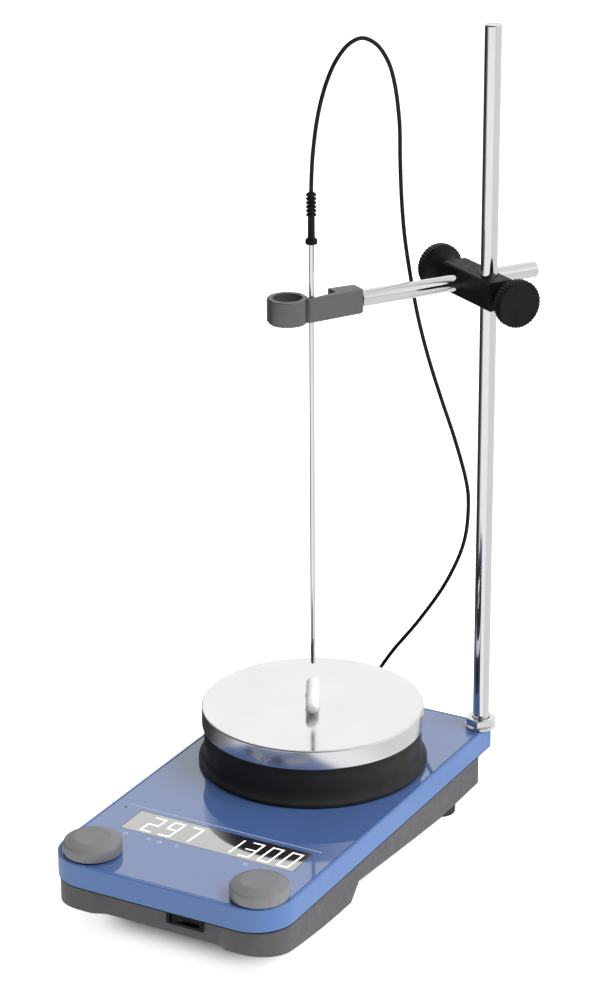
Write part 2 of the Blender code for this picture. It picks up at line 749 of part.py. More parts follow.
def drive(frame, looks):
    axis = empty("drive_axis", frame, (PLATE_X, PLATE_Y, 0))
    housing_bottom = TUB_BOTTOM + TUB_WALL + GAP + 0.0001
    housing_floor = housing_bottom + 0.0015
    housing_wall = 0.0016
    seat = (0.0068, 0.0085)  # inner and outer radius of the bearing seats
    seat_top = 0.0185
    housing = [
        (0, housing_bottom),
        (MOTOR_RADIUS, housing_bottom),
        (MOTOR_RADIUS, MOTOR_COLUMN_TOP),
        (MOTOR_RADIUS - housing_wall, MOTOR_COLUMN_TOP),
        (MOTOR_RADIUS - housing_wall, housing_floor),
        (seat[1], housing_floor),
        (seat[1], seat_top),
        (seat[0], seat_top),
        (seat[0], housing_floor),
        (0, housing_floor),
    ]
    turned("motor_housing", axis, looks["steel"], housing, 24)
    bearing = tube_profile(SHAFT_RADIUS + GAP, seat[0] - GAP, 0, 0.0036)
    turned("lower_bearing", axis, looks["chrome"], bearing, 14, location=(0, 0, 0.0147))
    turned("upper_bearing", axis, looks["chrome"], bearing, 14, location=(0, 0, 0.0386))
    air_gap = (0.0147, 0.0152)
    winding = tube_profile(air_gap[1], MOTOR_RADIUS - housing_wall - 0.0004, 0.0190, 0.0340)
    turned("stator", axis, looks["winding"], winding, 20)
    core = tube_profile(SHAFT_RADIUS + GAP, air_gap[0], 0.0195, 0.0335)
    turned("rotor", axis, looks["magnet"], core, 20)
    turned("motor_shaft", axis, looks["chrome"], cylinder_profile(SHAFT_RADIUS, 0.0150, SHAFT_TOP), 12)
    flange_radius = MOTOR_SCREW_CIRCLE + 0.0038
    cap_bottom = MOTOR_COLUMN_TOP + GAP
    cap_top = cap_bottom + 0.0025
    collar_radius = 0.0092
    collar_top = 0.0424
    cap = [
        (seat[0], cap_bottom),
        (flange_radius, cap_bottom),
        (flange_radius, cap_top),
        (collar_radius, cap_top),
        (collar_radius, collar_top),
        (seat[0], collar_top),
    ]
    end_cap = turned("motor_end_cap", axis, looks["steel"], cap, 24)
    for index, (x, y) in enumerate(motor_screw_places()):
        cut(end_cap, bore(f"cut_cap_{index}", frame, 0.0016, 0.030, 0.050, 8, location=(x, y, 0)))
        profile = screw_profile(0.0027, 0.0020, 0.0012, 0.0110)
        turned(f"motor_screw_{index + 1}", frame, looks["steel"], profile, 8,
               location=(x, y, 0.0431), rotation=(math.pi, 0, 0))
    carrier_bore = SHAFT_RADIUS + GAP
    hub_radius = 0.0070
    carrier_radius = 0.0360
    hub_bottom, carrier_bottom, carrier_top = 0.0460, 0.0525, 0.0565
    carrier = [
        (carrier_bore, hub_bottom),
        (hub_radius, hub_bottom),
        (hub_radius, carrier_bottom),
        (carrier_radius, carrier_bottom),
        (carrier_radius, carrier_top),
        (carrier_bore, carrier_top),
    ]
    turned("magnet_carrier", axis, looks["steel"], carrier, 24)
    magnet_circle = 0.0225
    magnet = cylinder_profile(0.0095, 0, 0.0058)
    for index, side in enumerate((-1, 1)):
        place = (
            side * magnet_circle * math.cos(STIR_BAR_ANGLE),
            side * magnet_circle * math.sin(STIR_BAR_ANGLE),
            carrier_top + GAP,
        )
        turned(f"drive_magnet_{index + 1}", axis, looks["magnet"], magnet, 16, location=place)
    stir_bar(axis, looks["white"])


def stir_bar(axis, look):
    """A short rod with rounded ends and a pivot ring round its middle, lying on the plate."""
    half = STIR_BAR_LENGTH / 2
    body = STIR_BAR_RADIUS - 0.0004
    end_round = 0.0022
    profile = [(0, -half)]
    profile += [(body - end_round + r, -half + end_round + h) for r, h in arc((0, 0), end_round, -90, 0, 3)]
    profile += [(body, -0.0022), (STIR_BAR_RADIUS, -0.0012), (STIR_BAR_RADIUS, 0.0012), (body, 0.0022)]
    profile += [(body - end_round + r, half - end_round + h) for r, h in arc((0, 0), end_round, 0, 90, 3)]
    profile += [(0, half)]
    height = PLATE_TOP + GAP + STIR_BAR_RADIUS
    turned("stir_bar", axis, look, profile, 16, location=(0, 0, height),
           rotation=(0, math.radians(90), STIR_BAR_ANGLE))


def heating(frame, looks):
    axis = empty("plate_axis", frame, (PLATE_X, PLATE_Y, 0))
    chamfer = 0.0008
    recess_radius = 0.050
    recess_top = PLATE_BOTTOM + 0.0050
    plate = [
        (recess_radius, PLATE_BOTTOM),
        (PLATE_RADIUS - chamfer, PLATE_BOTTOM),
        (PLATE_RADIUS, PLATE_BOTTOM + chamfer),
        (PLATE_RADIUS, PLATE_TOP - chamfer),
        (PLATE_RADIUS - chamfer, PLATE_TOP),
        (0, PLATE_TOP),
        (0, recess_top),
        (recess_radius, recess_top),
    ]
    turned("heating_plate", axis, looks["plate"], plate, 48)
    flange_radius = 0.051
    ring_top = PLATE_BOTTOM - GAP
    ring = [
        (DRIVE_OPENING_RADIUS + 0.002, RING_BOTTOM),
        (RING_LIP_RADIUS - 0.0010, RING_BOTTOM),
        (RING_LIP_RADIUS, RING_BOTTOM + 0.0010),
        (RING_LIP_RADIUS, RING_BOTTOM + 0.0025),
        (RING_RADIUS + 0.0008, RING_BOTTOM + 0.0045),
        (RING_RADIUS, RING_BOTTOM + 0.0065),
        (RING_RADIUS, ring_top),
        (flange_radius, ring_top),
        (flange_radius, ring_top - 0.0025),
        (RING_INNER_RADIUS, ring_top - 0.0025),
        (RING_INNER_RADIUS, RING_BOTTOM + 0.0035),
        (DRIVE_OPENING_RADIUS + 0.002, RING_BOTTOM + 0.0035),
    ]
    turned("ring_housing", axis, looks["ring"], ring, 40)
    pillar_bottom = RING_BOTTOM + 0.0035 + GAP
    pillar_top = ring_top - 0.0025 - GAP
    insulation = disc("insulation_disc", axis, looks["mica"], RING_INNER_RADIUS - 0.0006,
                      0.0645, pillar_top - 0.0001, 28)
    for index, (x, y) in enumerate(standoff_places()):
        cut(insulation, bore(f"cut_disc_{index}", frame, 0.0038, 0.060, 0.075, 10, location=(x, y, 0)))
        turned(f"plate_standoff_{index + 1}", frame, looks["steel"],
               cylinder_profile(0.0035, pillar_bottom, pillar_top), 10, location=(x, y, 0))
    heater = cylinder_profile(recess_radius - 0.0005, pillar_top + 0.0004, recess_top - GAP)
    turned("heater_element", axis, looks["steel"], heater, 28)


# ---------------------------------------------------------------- connectors


def mains_inlet(frame, look):
    """An appliance inlet let into the rear wall, with three flat pins in its well."""
    back = BASE_REAR
    flange = (0.0152, 0.0100)
    low = (INLET_X - flange[0], back + GAP, CONNECTOR_Z - flange[1])
    high = (INLET_X + flange[0], back + 0.0025, CONNECTOR_Z + flange[1])
    inlet = box("mains_inlet", frame, look, low, high)
    low = (INLET_X - INLET_BODY[0], back - 0.0200, CONNECTOR_Z - INLET_BODY[1])
    high = (INLET_X + INLET_BODY[0], back + 0.0010, CONNECTOR_Z + INLET_BODY[1])
    join(inlet, box("add_inlet_body", frame, None, low, high))
    wall = 0.0014
    floor = back - 0.0165
    low = (INLET_X - INLET_BODY[0] + wall, floor, CONNECTOR_Z - INLET_BODY[1] + wall)
    high = (INLET_X + INLET_BODY[0] - wall, back + 0.0100, CONNECTOR_Z + INLET_BODY[1] - wall)
    cut(inlet, box("cut_inlet_well", frame, None, low, high))
    for index, (across, up) in enumerate(((-0.0070, -0.0015), (0, 0.0025), (0.0070, -0.0015))):
        low = (INLET_X + across - INLET_PIN[0], floor - 0.0010, CONNECTOR_Z + up - INLET_PIN[1])
        high = (INLET_X + across + INLET_PIN[0], back - 0.0030, CONNECTOR_Z + up + INLET_PIN[1])
        join(inlet, box(f"add_pin_{index}", frame, None, low, high))


def probe_connector(frame, looks):
    axis = empty("socket_axis", frame, (SOCKET_X, 0, CONNECTOR_Z))
    along_y = (math.radians(-90), 0, 0)
    well_floor = BASE_REAR - 0.0090
    inner_end = BASE_REAR - 0.0180
    outer_end = BASE_REAR + 0.0020
    flange_radius = 0.0095
    well_radius = PLUG_NOSE_RADIUS + 0.0004
    socket = [
        (0, inner_end),
        (SOCKET_RADIUS, inner_end),
        (SOCKET_RADIUS, BASE_REAR + GAP),
        (flange_radius, BASE_REAR + GAP),
        (flange_radius, outer_end),
        (well_radius, outer_end),
        (well_radius, well_floor),
        (0, well_floor),
    ]
    turned("probe_socket", axis, looks["steel"], socket, 20, rotation=along_y)
    plug = [
        (0, well_floor + 0.0015),
        (PLUG_NOSE_RADIUS, well_floor + 0.0015),
        (PLUG_NOSE_RADIUS, PLUG_FACE),
        (PLUG_RADIUS, PLUG_FACE + 0.0005),
        (PLUG_RADIUS, PLUG_END - 0.0008),
        (PLUG_RADIUS - 0.0008, PLUG_END),
        (0, PLUG_END),
    ]
    turned("probe_plug", axis, looks["black"], plug, 18, rotation=along_y)
    boot_radius = 0.0040
    boot_end_radius = 0.0020
    boot = [
        (0, PLUG_END + GAP),
        (boot_radius, PLUG_END + GAP),
        (boot_radius, PLUG_END + 0.0030),
        (boot_end_radius, CABLE_END_Y - GAP),
        (0, CABLE_END_Y - GAP),
    ]
    turned("plug_boot", axis, looks["black"], boot, 12, rotation=along_y)


# ---------------------------------------------------------------- rod, boss head and arm


def support_rod(frame, looks):
    rod = [
        (0, 0.0360),
        (STUD_RADIUS, 0.0360),
        (STUD_RADIUS, COVER_TOP + 0.0006),
        (ROD_RADIUS, COVER_TOP + 0.0006),
        (ROD_RADIUS, ROD_TOP - 0.0007),
        (ROD_RADIUS - 0.0007, ROD_TOP),
        (0, ROD_TOP),
    ]
    turned("support_rod", frame, looks["chrome"], rod, 20, location=(ROD_X, ROD_Y, 0))
    flange_bottom = COVER_TOP + GAP
    flange_top = flange_bottom + 0.0020
    nut_top = 0.0551
    flange = turned("rod_nut", frame, looks["chrome"],
                    tube_profile(ROD_RADIUS + BORE_CLEARANCE, 0.0095, flange_bottom, flange_top), 20,
                    location=(ROD_X, ROD_Y, 0))
    across_flats = 0.0165
    corner = across_flats / math.sqrt(3)
    tilt = 12
    hexagon = [(corner * math.cos(a), corner * math.sin(a)) for a in
               (math.radians(60 * index + tilt) for index in range(6))]
    inner = [(x * 0.95, y * 0.95) for x, y in hexagon]
    levels = [(hexagon, flange_bottom + 0.0010), (hexagon, nut_top - 0.0005), (inner, nut_top)]
    join(flange, stacked_prism("add_hexagon", frame, None, levels, location=(ROD_X, ROD_Y, 0)))
    cut(flange, bore("cut_nut", frame, ROD_RADIUS + BORE_CLEARANCE, 0.040, 0.060, 20,
                     location=(ROD_X, ROD_Y, 0)))


def make_arm_frame(frame):
    """An empty on the arm's axis where the boss head crosses it, X along the arm, Y across it."""
    across = Vector((-math.sin(ARM_ANGLE), math.cos(ARM_ANGLE)))
    place = Vector((ROD_X, ROD_Y)) + across * ARM_OFFSET
    return empty("arm_frame", frame, (place.x, place.y, ARM_Z), ARM_ANGLE)


def boss_head(arm, look):
    half = 0.0085
    half_height = 0.0088
    chamfer = 0.0010
    near, far = -0.0363, 0.0160
    section = [
        (-half + chamfer, -half_height),
        (half - chamfer, -half_height),
        (half, -half_height + chamfer),
        (half, half_height - chamfer),
        (half - chamfer, half_height),
        (-half + chamfer, half_height),
        (-half, half_height - chamfer),
        (-half, -half_height + chamfer),
    ]
    rings = [[(x, y, z) for x, z in reversed(section)] for y in (near, far)]
    block = make_object("boss_head", rings_to_mesh("boss_head", rings), arm, look)
    hole = ROD_RADIUS + BORE_CLEARANCE
    cut(block, bore("cut_rod_bore", arm, hole, -0.02, 0.02, 20, location=(0, -ARM_OFFSET, 0)))
    cut(block, bore("cut_arm_bore", arm, hole, -0.02, 0.02, 20, rotation=(0, math.radians(90), 0)))
    screw_hole = 0.0033
    cut(block, bore("cut_rod_screw", arm, screw_hole, -0.045, -ARM_OFFSET, 12,
                    rotation=(math.radians(-90), 0, 0)))
    cut(block, bore("cut_arm_screw", arm, screw_hole, 0.0, 0.025, 12,
                    rotation=(math.radians(-90), 0, 0)))
    return block


def thumbscrew_profile(face, shoulder, neck_end, tip):
    """Heights run outwards from the screw's tip to the outer face of its head."""
    radius = 0.0143
    chamfer = 0.0012
    return [
        (0, tip),
        (0.0030, tip),
        (0.0030, neck_end),
        (0.0060, neck_end),
        (0.0078, shoulder - 0.0035),
        (radius - chamfer, shoulder),
        (radius, shoulder + chamfer),
        (radius, face - chamfer),
        (radius - chamfer, face),
        (0, face),
    ]


def thumbscrews(arm, look):
    press_gap = 0.0004
    arm_tip = ROD_RADIUS + press_gap
    arm_screw = thumbscrew_profile(0.0365, 0.0295, 0.0163, arm_tip)
    turned("arm_thumbscrew", arm, look, arm_screw, 20, rotation=(math.radians(-90), 0, 0))
    rod_tip = ARM_OFFSET + ROD_RADIUS + press_gap
    rod_screw = thumbscrew_profile(0.0570, 0.0500, 0.0366, rod_tip)
    turned("rod_thumbscrew", arm, look, rod_screw, 20, rotation=(math.radians(90), 0, 0))


def arm_rod(arm, look):
    """A plain rod whose turned-down end sits in the holder."""
    shoulder = HOLDER_END + GAP
    spigot_end = HOLDER_END - 0.0120
    profile = [
        (0, spigot_end),
        (SPIGOT_RADIUS, spigot_end),
        (SPIGOT_RADIUS, shoulder),
        (ROD_RADIUS, shoulder),
        (ROD_RADIUS, ARM_FAR_END - 0.0007),
        (ROD_RADIUS - 0.0007, ARM_FAR_END),
        (0, ARM_FAR_END),
    ]
    turned("arm_rod", arm, look, profile, 20, rotation=(0, math.radians(90), 0))


def probe_holder(arm, look):
    """A bar with a grooved ring at its end and a notch open to the back that grips the probe."""
    half_height = 0.0073
    outer = 0.0122
    bar = [
        (HOLDER_END, -0.0045),
        (HOLDER_END, 0.0045),
        (HOLDER_END - 0.0015, 0.0060),
        (-0.105, 0.0075),
        (-0.118, 0.0085),
        (-0.118, -0.0075),
        (-0.105, -0.0075),
        (HOLDER_END - 0.0015, -0.0060),
    ]
    edge = 0.0006
    middle = (-0.097, 0.0)
    inner = [(middle[0] + (x - middle[0]) * 0.975, y * 0.92) for x, y in bar]
    levels = [
        (inner, -half_height),
        (bar, -half_height + edge),
        (bar, half_height - edge),
        (inner, half_height),
    ]
    holder = stacked_prism("probe_holder", arm, look, levels)
    ring = [
        (0, -half_height - 0.0001),
        (outer - edge, -half_height - 0.0001),
        (outer, -half_height + edge),
        (outer, half_height - edge),
        (outer - edge, half_height + 0.0001),
        (0, half_height + 0.0001),
    ]
    join(holder, turned("add_ring", arm, None, ring, 28, location=(RING_D, RING_N, 0)))
    groove_depth = 0.0011
    for index, (start, end) in enumerate(((-62, -42), (150, 193))):
        sector = arc((RING_D, RING_N), outer + 0.0020, start, end, 4)
        sector += arc((RING_D, RING_N), outer - groove_depth, end, start, 4)
        cut(holder, prism(f"cut_groove_{index}", arm, None, sector, -0.02, 0.02))
    ring_bore = 0.00875
    cut(holder, bore("cut_ring", arm, ring_bore, -0.02, 0.02, 24, location=(RING_D, RING_N, 0)))
    notch = [
        (-0.1110, -0.0035),
        (-0.1088, -0.0055),
        (-0.0925, -0.0025),
        (-0.0920, -0.0012),
        (-0.0928, 0.0200),
        (-0.1108, 0.0200),
    ]
    cut(holder, prism("cut_notch_holder", arm, None, notch, -0.02, 0.02))
    cut(holder, bore("cut_spigot", arm, SPIGOT_RADIUS + GAP, HOLDER_END - 0.0125, HOLDER_END + 0.01, 12,
                     rotation=(0, math.radians(90), 0)))
    return holder


# ---------------------------------------------------------------- probe and cable


def probe(frame, looks):
    axis = empty("probe_axis", frame, (PROBE_X, PROBE_Y, 0))
    tube_top = PROBE_FLANGE_Z + 0.0120
    tube = [
        (0, PROBE_TIP),
        (0.0009, PROBE_TIP + 0.0003),
        (PROBE_RADIUS, PROBE_TIP + 0.0015),
        (PROBE_RADIUS, tube_top),
        (0, tube_top),
    ]
    turned("probe_tube", axis, looks["chrome"], tube, 12)
    inside = PROBE_RADIUS + GAP
    flange_radius = 0.0035
    neck_radius = 0.0020
    rib_radius = 0.0030
    boot = [(inside, PROBE_FLANGE_Z), (flange_radius, PROBE_FLANGE_Z)]
    boot += [(flange_radius, PROBE_FLANGE_Z + 0.0030), (neck_radius, PROBE_FLANGE_Z + 0.0033)]
    ribs = 6
    ribs_start = 0.3884
    pitch = (PROBE_BOOT_TOP - ribs_start) / ribs
    for rib in range(ribs):
        bottom = ribs_start + rib * pitch
        top = bottom + 0.6 * pitch
        boot += [(neck_radius, bottom), (rib_radius, bottom), (rib_radius, top), (neck_radius, top)]
    boot += [(neck_radius, PROBE_BOOT_TOP), (0, PROBE_BOOT_TOP)]
    boot += [(0, tube_top + GAP), (inside, tube_top + GAP)]
    turned("probe_boot", axis, looks["black"], boot, 10)


CABLE_ROUTE = [
    (-0.0032, 0.0512, 0.4029),
    (-0.0030, 0.0512, 0.4096),
    (-0.0025, 0.0515, 0.4213),
    (-0.0016, 0.0522, 0.4329),
    (-0.0004, 0.0534, 0.4444),
    (0.0013, 0.0554, 0.4557),
    (0.0035, 0.0585, 0.4667),
    (0.0069, 0.0630, 0.4776),
    (0.0118, 0.0690, 0.4861),
    (0.0169, 0.0750, 0.4888),
    (0.0222, 0.0820, 0.4846),
    (0.0264, 0.0880, 0.4747),
    (0.0283, 0.0925, 0.4624),
    (0.0281, 0.1000, 0.4375),
    (0.0253, 0.1070, 0.4119),
    (0.0229, 0.1140, 0.3860),
    (0.0218, 0.1210, 0.3597),
    (0.0226, 0.1290, 0.3299),
    (0.0243, 0.1350, 0.3066),
    (0.0286, 0.1410, 0.2801),
    (0.0345, 0.1470, 0.2536),
    (0.0415, 0.1520, 0.2272),
    (0.0469, 0.1570, 0.2003),
    (0.0476, 0.1595, 0.1863),
    (0.0432, 0.1640, 0.1572),
    (0.0297, 0.1680, 0.1259),
    (0.0091, 0.1700, 0.0934),
    (-0.0102, 0.1720, 0.0676),
    (-0.0240, 0.1780, 0.0480),
    (-0.0340, 0.1840, 0.0345),
    (-0.0402, 0.1850, 0.0252),
    (-0.0419, 0.1790, 0.0222),
    (-0.0420, 0.1686, 0.0220),
]
CABLE_POINTS = 80


def smooth_route(route, count):
    """Evenly spaced points along a centripetal Catmull-Rom curve through the route's points."""
    points = [Vector(point) for point in route]
    points = [points[0] * 2 - points[1]] + points + [points[-1] * 2 - points[-2]]
    dense = []
    for before, start, end, after in zip(points, points[1:], points[2:], points[3:]):
        t0 = 0.0
        t1 = t0 + math.sqrt((start - before).length)
        t2 = t1 + math.sqrt((end - start).length)
        t3 = t2 + math.sqrt((after - end).length)
        for step in range(24):
            t = t1 + (t2 - t1) * step / 24
            a1 = before * ((t1 - t) / (t1 - t0)) + start * ((t - t0) / (t1 - t0))
            a2 = start * ((t2 - t) / (t2 - t1)) + end * ((t - t1) / (t2 - t1))
            a3 = end * ((t3 - t) / (t3 - t2)) + after * ((t - t2) / (t3 - t2))
            b1 = a1 * ((t2 - t) / (t2 - t0)) + a2 * ((t - t0) / (t2 - t0))
            b2 = a2 * ((t3 - t) / (t3 - t1)) + a3 * ((t - t1) / (t3 - t1))
            dense.append(b1 * ((t2 - t) / (t2 - t1)) + b2 * ((t - t1) / (t2 - t1)))
    dense.append(points[-2])
    lengths = [0.0]
    for first, second in zip(dense, dense[1:]):
        lengths.append(lengths[-1] + (second - first).length)
    even = []
    index = 0
    for number in range(count):
        target = lengths[-1] * number / (count - 1)
        while index < len(lengths) - 2 and lengths[index + 1] < target:
            index += 1
        share = (target - lengths[index]) / (lengths[index + 1] - lengths[index])
        even.append(dense[index].lerp(dense[index + 1], share))
    return even


def probe_cable(frame, look):
    curve = bpy.data.curves.new("probe_cable", "CURVE")
    curve.dimensions = "3D"
    curve.bevel_depth = CABLE_RADIUS
    curve.bevel_resolution = 2
    curve.use_fill_caps = True
    spline = curve.splines.new("POLY")
    spline.points.add(CABLE_POINTS - 1)
    for place, point in zip(spline.points, smooth_route(CABLE_ROUTE, CABLE_POINTS)):
        place.co = (*point, 1.0)
    curve.materials.append(look)
    made = bpy.data.objects.new("probe_cable", curve)
    made.parent = frame
    bpy.context.collection.objects.link(made)


# ---------------------------------------------------------------- assembly


def main():
    clear_scene()
    looks = make_looks()
    frame = empty("assembly_frame", None, (*COVER_MIDDLE, 0))
    base_shell(frame, looks["grey"])
    feet(frame, looks["rubber"])
    cover_screws(frame, looks["steel"])
    top_cover(frame, looks["blue"])
    top_panel(frame, looks["panel"])
    display(frame, looks)
    controls(frame, looks)
    switch(frame, looks)
    boards(frame, looks["board"])
    drive(frame, looks)
    heating(frame, looks)
    mains_inlet(frame, looks["black"])
    probe_connector(frame, looks)
    support_rod(frame, looks)
    arm = make_arm_frame(frame)
    boss_head(arm, looks["black"])
    thumbscrews(arm, looks["black"])
    arm_rod(arm, looks["chrome"])
    probe_holder(arm, looks["holder"])
    probe(frame, looks)
    probe_cable(frame, looks["cable"])


main()
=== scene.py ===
"""Looks of a heating magnetic stirrer with support rod, clamp arm and temperature probe.

The frame gives every place and size. Turned, knurled and soft pieces are built here as fine meshes that
stand for their CAD nodes; the moulded shells keep their CAD shape and get rounded edges and finishes.
"""

import json
import math

import bmesh
import bpy
from mathutils import Matrix, Vector


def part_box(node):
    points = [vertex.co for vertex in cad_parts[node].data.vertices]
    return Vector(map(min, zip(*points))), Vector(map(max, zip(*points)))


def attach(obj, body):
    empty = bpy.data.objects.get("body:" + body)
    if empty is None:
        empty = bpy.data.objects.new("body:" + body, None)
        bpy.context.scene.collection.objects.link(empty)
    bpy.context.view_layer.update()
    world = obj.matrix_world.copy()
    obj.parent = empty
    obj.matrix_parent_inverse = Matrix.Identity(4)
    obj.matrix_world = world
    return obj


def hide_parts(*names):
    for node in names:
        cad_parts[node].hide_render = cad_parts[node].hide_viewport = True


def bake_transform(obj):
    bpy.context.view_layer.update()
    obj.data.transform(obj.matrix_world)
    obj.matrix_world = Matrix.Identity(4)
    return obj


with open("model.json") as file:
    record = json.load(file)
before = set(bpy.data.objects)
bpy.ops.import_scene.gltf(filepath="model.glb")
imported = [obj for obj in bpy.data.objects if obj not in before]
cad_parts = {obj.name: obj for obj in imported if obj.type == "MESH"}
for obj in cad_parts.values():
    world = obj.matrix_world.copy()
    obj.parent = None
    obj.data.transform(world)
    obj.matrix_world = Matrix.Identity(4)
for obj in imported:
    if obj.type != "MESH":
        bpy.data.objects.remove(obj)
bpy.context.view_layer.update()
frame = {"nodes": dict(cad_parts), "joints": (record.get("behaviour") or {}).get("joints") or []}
nodes = frame["nodes"]


# ---------------------------------------------------------------- places taken from the frame


def middle(node):
    low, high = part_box(node)
    return (low + high) / 2


def radius_of(node):
    low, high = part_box(node)
    return (high.x - low.x) / 2


COVER = middle("top_cover")
COVER_LOW, COVER_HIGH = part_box("top_cover")
PANEL_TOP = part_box("top_panel")[1].z
PLATE = middle("heating_plate")
ROD = middle("support_rod")
PROBE = middle("probe_tube")
SOCKET = middle("probe_socket")


def joint(name):
    return next(each for each in frame["joints"] if each["name"] == name)


# ---------------------------------------------------------------- camera

# Where the photo was taken from, fitted to the outlines of the plate, the cover and the knobs.
CAMERA_PLACE = (0.760789, -1.394369, 0.842344)
CAMERA_RIGHT = Vector((0.87606, 0.48217, -0.00539))
CAMERA_UP = Vector((-0.16967, 0.31871, 0.93254))
CAMERA_LENS = 105.475
CAMERA_SENSOR = 36.0
CAMERA_REACH = 100


def make_camera():
    data = bpy.data.cameras.new("camera")
    data.lens = CAMERA_LENS
    data.sensor_width = CAMERA_SENSOR
    data.clip_end = CAMERA_REACH
    camera = bpy.data.objects.new("camera", data)
    back = CAMERA_RIGHT.cross(CAMERA_UP)
    turn = Matrix((CAMERA_RIGHT, CAMERA_UP, back)).transposed()
    camera.matrix_world = Matrix.Translation(CAMERA_PLACE) @ turn.to_4x4()
    bpy.context.scene.collection.objects.link(camera)
    bpy.context.scene.camera = camera


# ---------------------------------------------------------------- finishes

looks = {}
# The span of a noise texture's values that a colour runs over, and the one that a roughness runs over.
COLOUR_SPAN = (0.32, 0.68)
ROUGHNESS_SPAN = (0.3, 0.7)
# The radians that a wave texture of scale 1 runs through in a metre.
WAVE_RADIANS = 20


class Finish:
    """A Principled material whose colour, roughness and relief vary over the surface."""

    def __init__(self, name, colour, roughness, metallic=0.0, **sockets):
        self.colour = colour
        self.material = bpy.data.materials.new(name)
        self.material.use_nodes = True
        self.tree = self.material.node_tree
        self.shader = self.tree.nodes["Principled BSDF"]
        self.shader.inputs["Base Color"].default_value = (*colour, 1)
        self.shader.inputs["Roughness"].default_value = roughness
        self.shader.inputs["Metallic"].default_value = metallic
        for socket, value in sockets.items():
            self.shader.inputs[socket.replace("_", " ")].default_value = value
        self.place = self.tree.nodes.new("ShaderNodeTexCoord")
        self.relief = None
        looks[name] = self.material

    def noise(self, scale, detail=3.0, stretch=(1, 1, 1)):
        mapping = self.tree.nodes.new("ShaderNodeMapping")
        mapping.inputs["Scale"].default_value = stretch
        self.tree.links.new(self.place.outputs["Object"], mapping.inputs["Vector"])
        texture = self.tree.nodes.new("ShaderNodeTexNoise")
        texture.inputs["Scale"].default_value = scale
        texture.inputs["Detail"].default_value = detail
        self.tree.links.new(mapping.outputs["Vector"], texture.inputs["Vector"])
        return texture.outputs["Fac"]

    def mottle(self, scale, amount, detail=3.0):
        """Lets the colour wander by a share of itself."""
        ramp = self.tree.nodes.new("ShaderNodeValToRGB")
        shares = (1 - amount, 1 + amount)
        for element, position, share in zip(ramp.color_ramp.elements, COLOUR_SPAN, shares):
            element.position = position
            element.color = (*(min(channel * share, 1) for channel in self.colour), 1)
        self.tree.links.new(self.noise(scale, detail), ramp.inputs["Fac"])
        self.tree.links.new(ramp.outputs["Color"], self.shader.inputs["Base Color"])
        return self

    def vary_roughness(self, low, high, scale, detail=3.0, stretch=(1, 1, 1)):
        spread = self.tree.nodes.new("ShaderNodeMapRange")
        spread.inputs["From Min"].default_value = ROUGHNESS_SPAN[0]
        spread.inputs["From Max"].default_value = ROUGHNESS_SPAN[1]
        spread.inputs["To Min"].default_value = low
        spread.inputs["To Max"].default_value = high
        self.tree.links.new(self.noise(scale, detail, stretch), spread.inputs["Value"])
        self.tree.links.new(spread.outputs["Result"], self.shader.inputs["Roughness"])
        return self

    def bump(self, height, depth, strength=1.0):
        """Adds relief of a depth in metres, on top of any relief before it."""
        node = self.tree.nodes.new("ShaderNodeBump")
        node.inputs["Distance"].default_value = depth
        node.inputs["Strength"].default_value = strength
        self.tree.links.new(height, node.inputs["Height"])
        if self.relief:
            self.tree.links.new(self.relief, node.inputs["Normal"])
        self.relief = node.outputs["Normal"]
        self.tree.links.new(self.relief, self.shader.inputs["Normal"])
        return self

    def grain(self, scale, depth, detail=3.0, stretch=(1, 1, 1), strength=1.0):
        return self.bump(self.noise(scale, detail, stretch), depth, strength)

    def cells(self, scale, depth, strength=1.0):
        """A fine leathered texture, as on spark-eroded mould walls."""
        texture = self.tree.nodes.new("ShaderNodeTexVoronoi")
        texture.inputs["Scale"].default_value = scale
        self.tree.links.new(self.place.outputs["Object"], texture.inputs["Vector"])
        return self.bump(texture.outputs["Distance"], depth, strength)

    def turned_rings(self, centre, groove, depth, strength):
        """Fine grooves of one width round a vertical axis, as a lathe leaves them, with ridges as wide."""
        mapping = self.tree.nodes.new("ShaderNodeMapping")
        mapping.vector_type = "POINT"
        mapping.inputs["Location"].default_value = (-centre[0], -centre[1], 0)
        self.tree.links.new(self.place.outputs["Object"], mapping.inputs["Vector"])
        texture = self.tree.nodes.new("ShaderNodeTexWave")
        texture.wave_type = "RINGS"
        texture.rings_direction = "Z"
        texture.inputs["Scale"].default_value = math.pi / (WAVE_RADIANS * groove)
        texture.inputs["Distortion"].default_value = 0.6
        texture.inputs["Detail"].default_value = 2.0
        self.tree.links.new(mapping.outputs["Vector"], texture.inputs["Vector"])
        return self.bump(texture.outputs["Fac"], depth, strength)


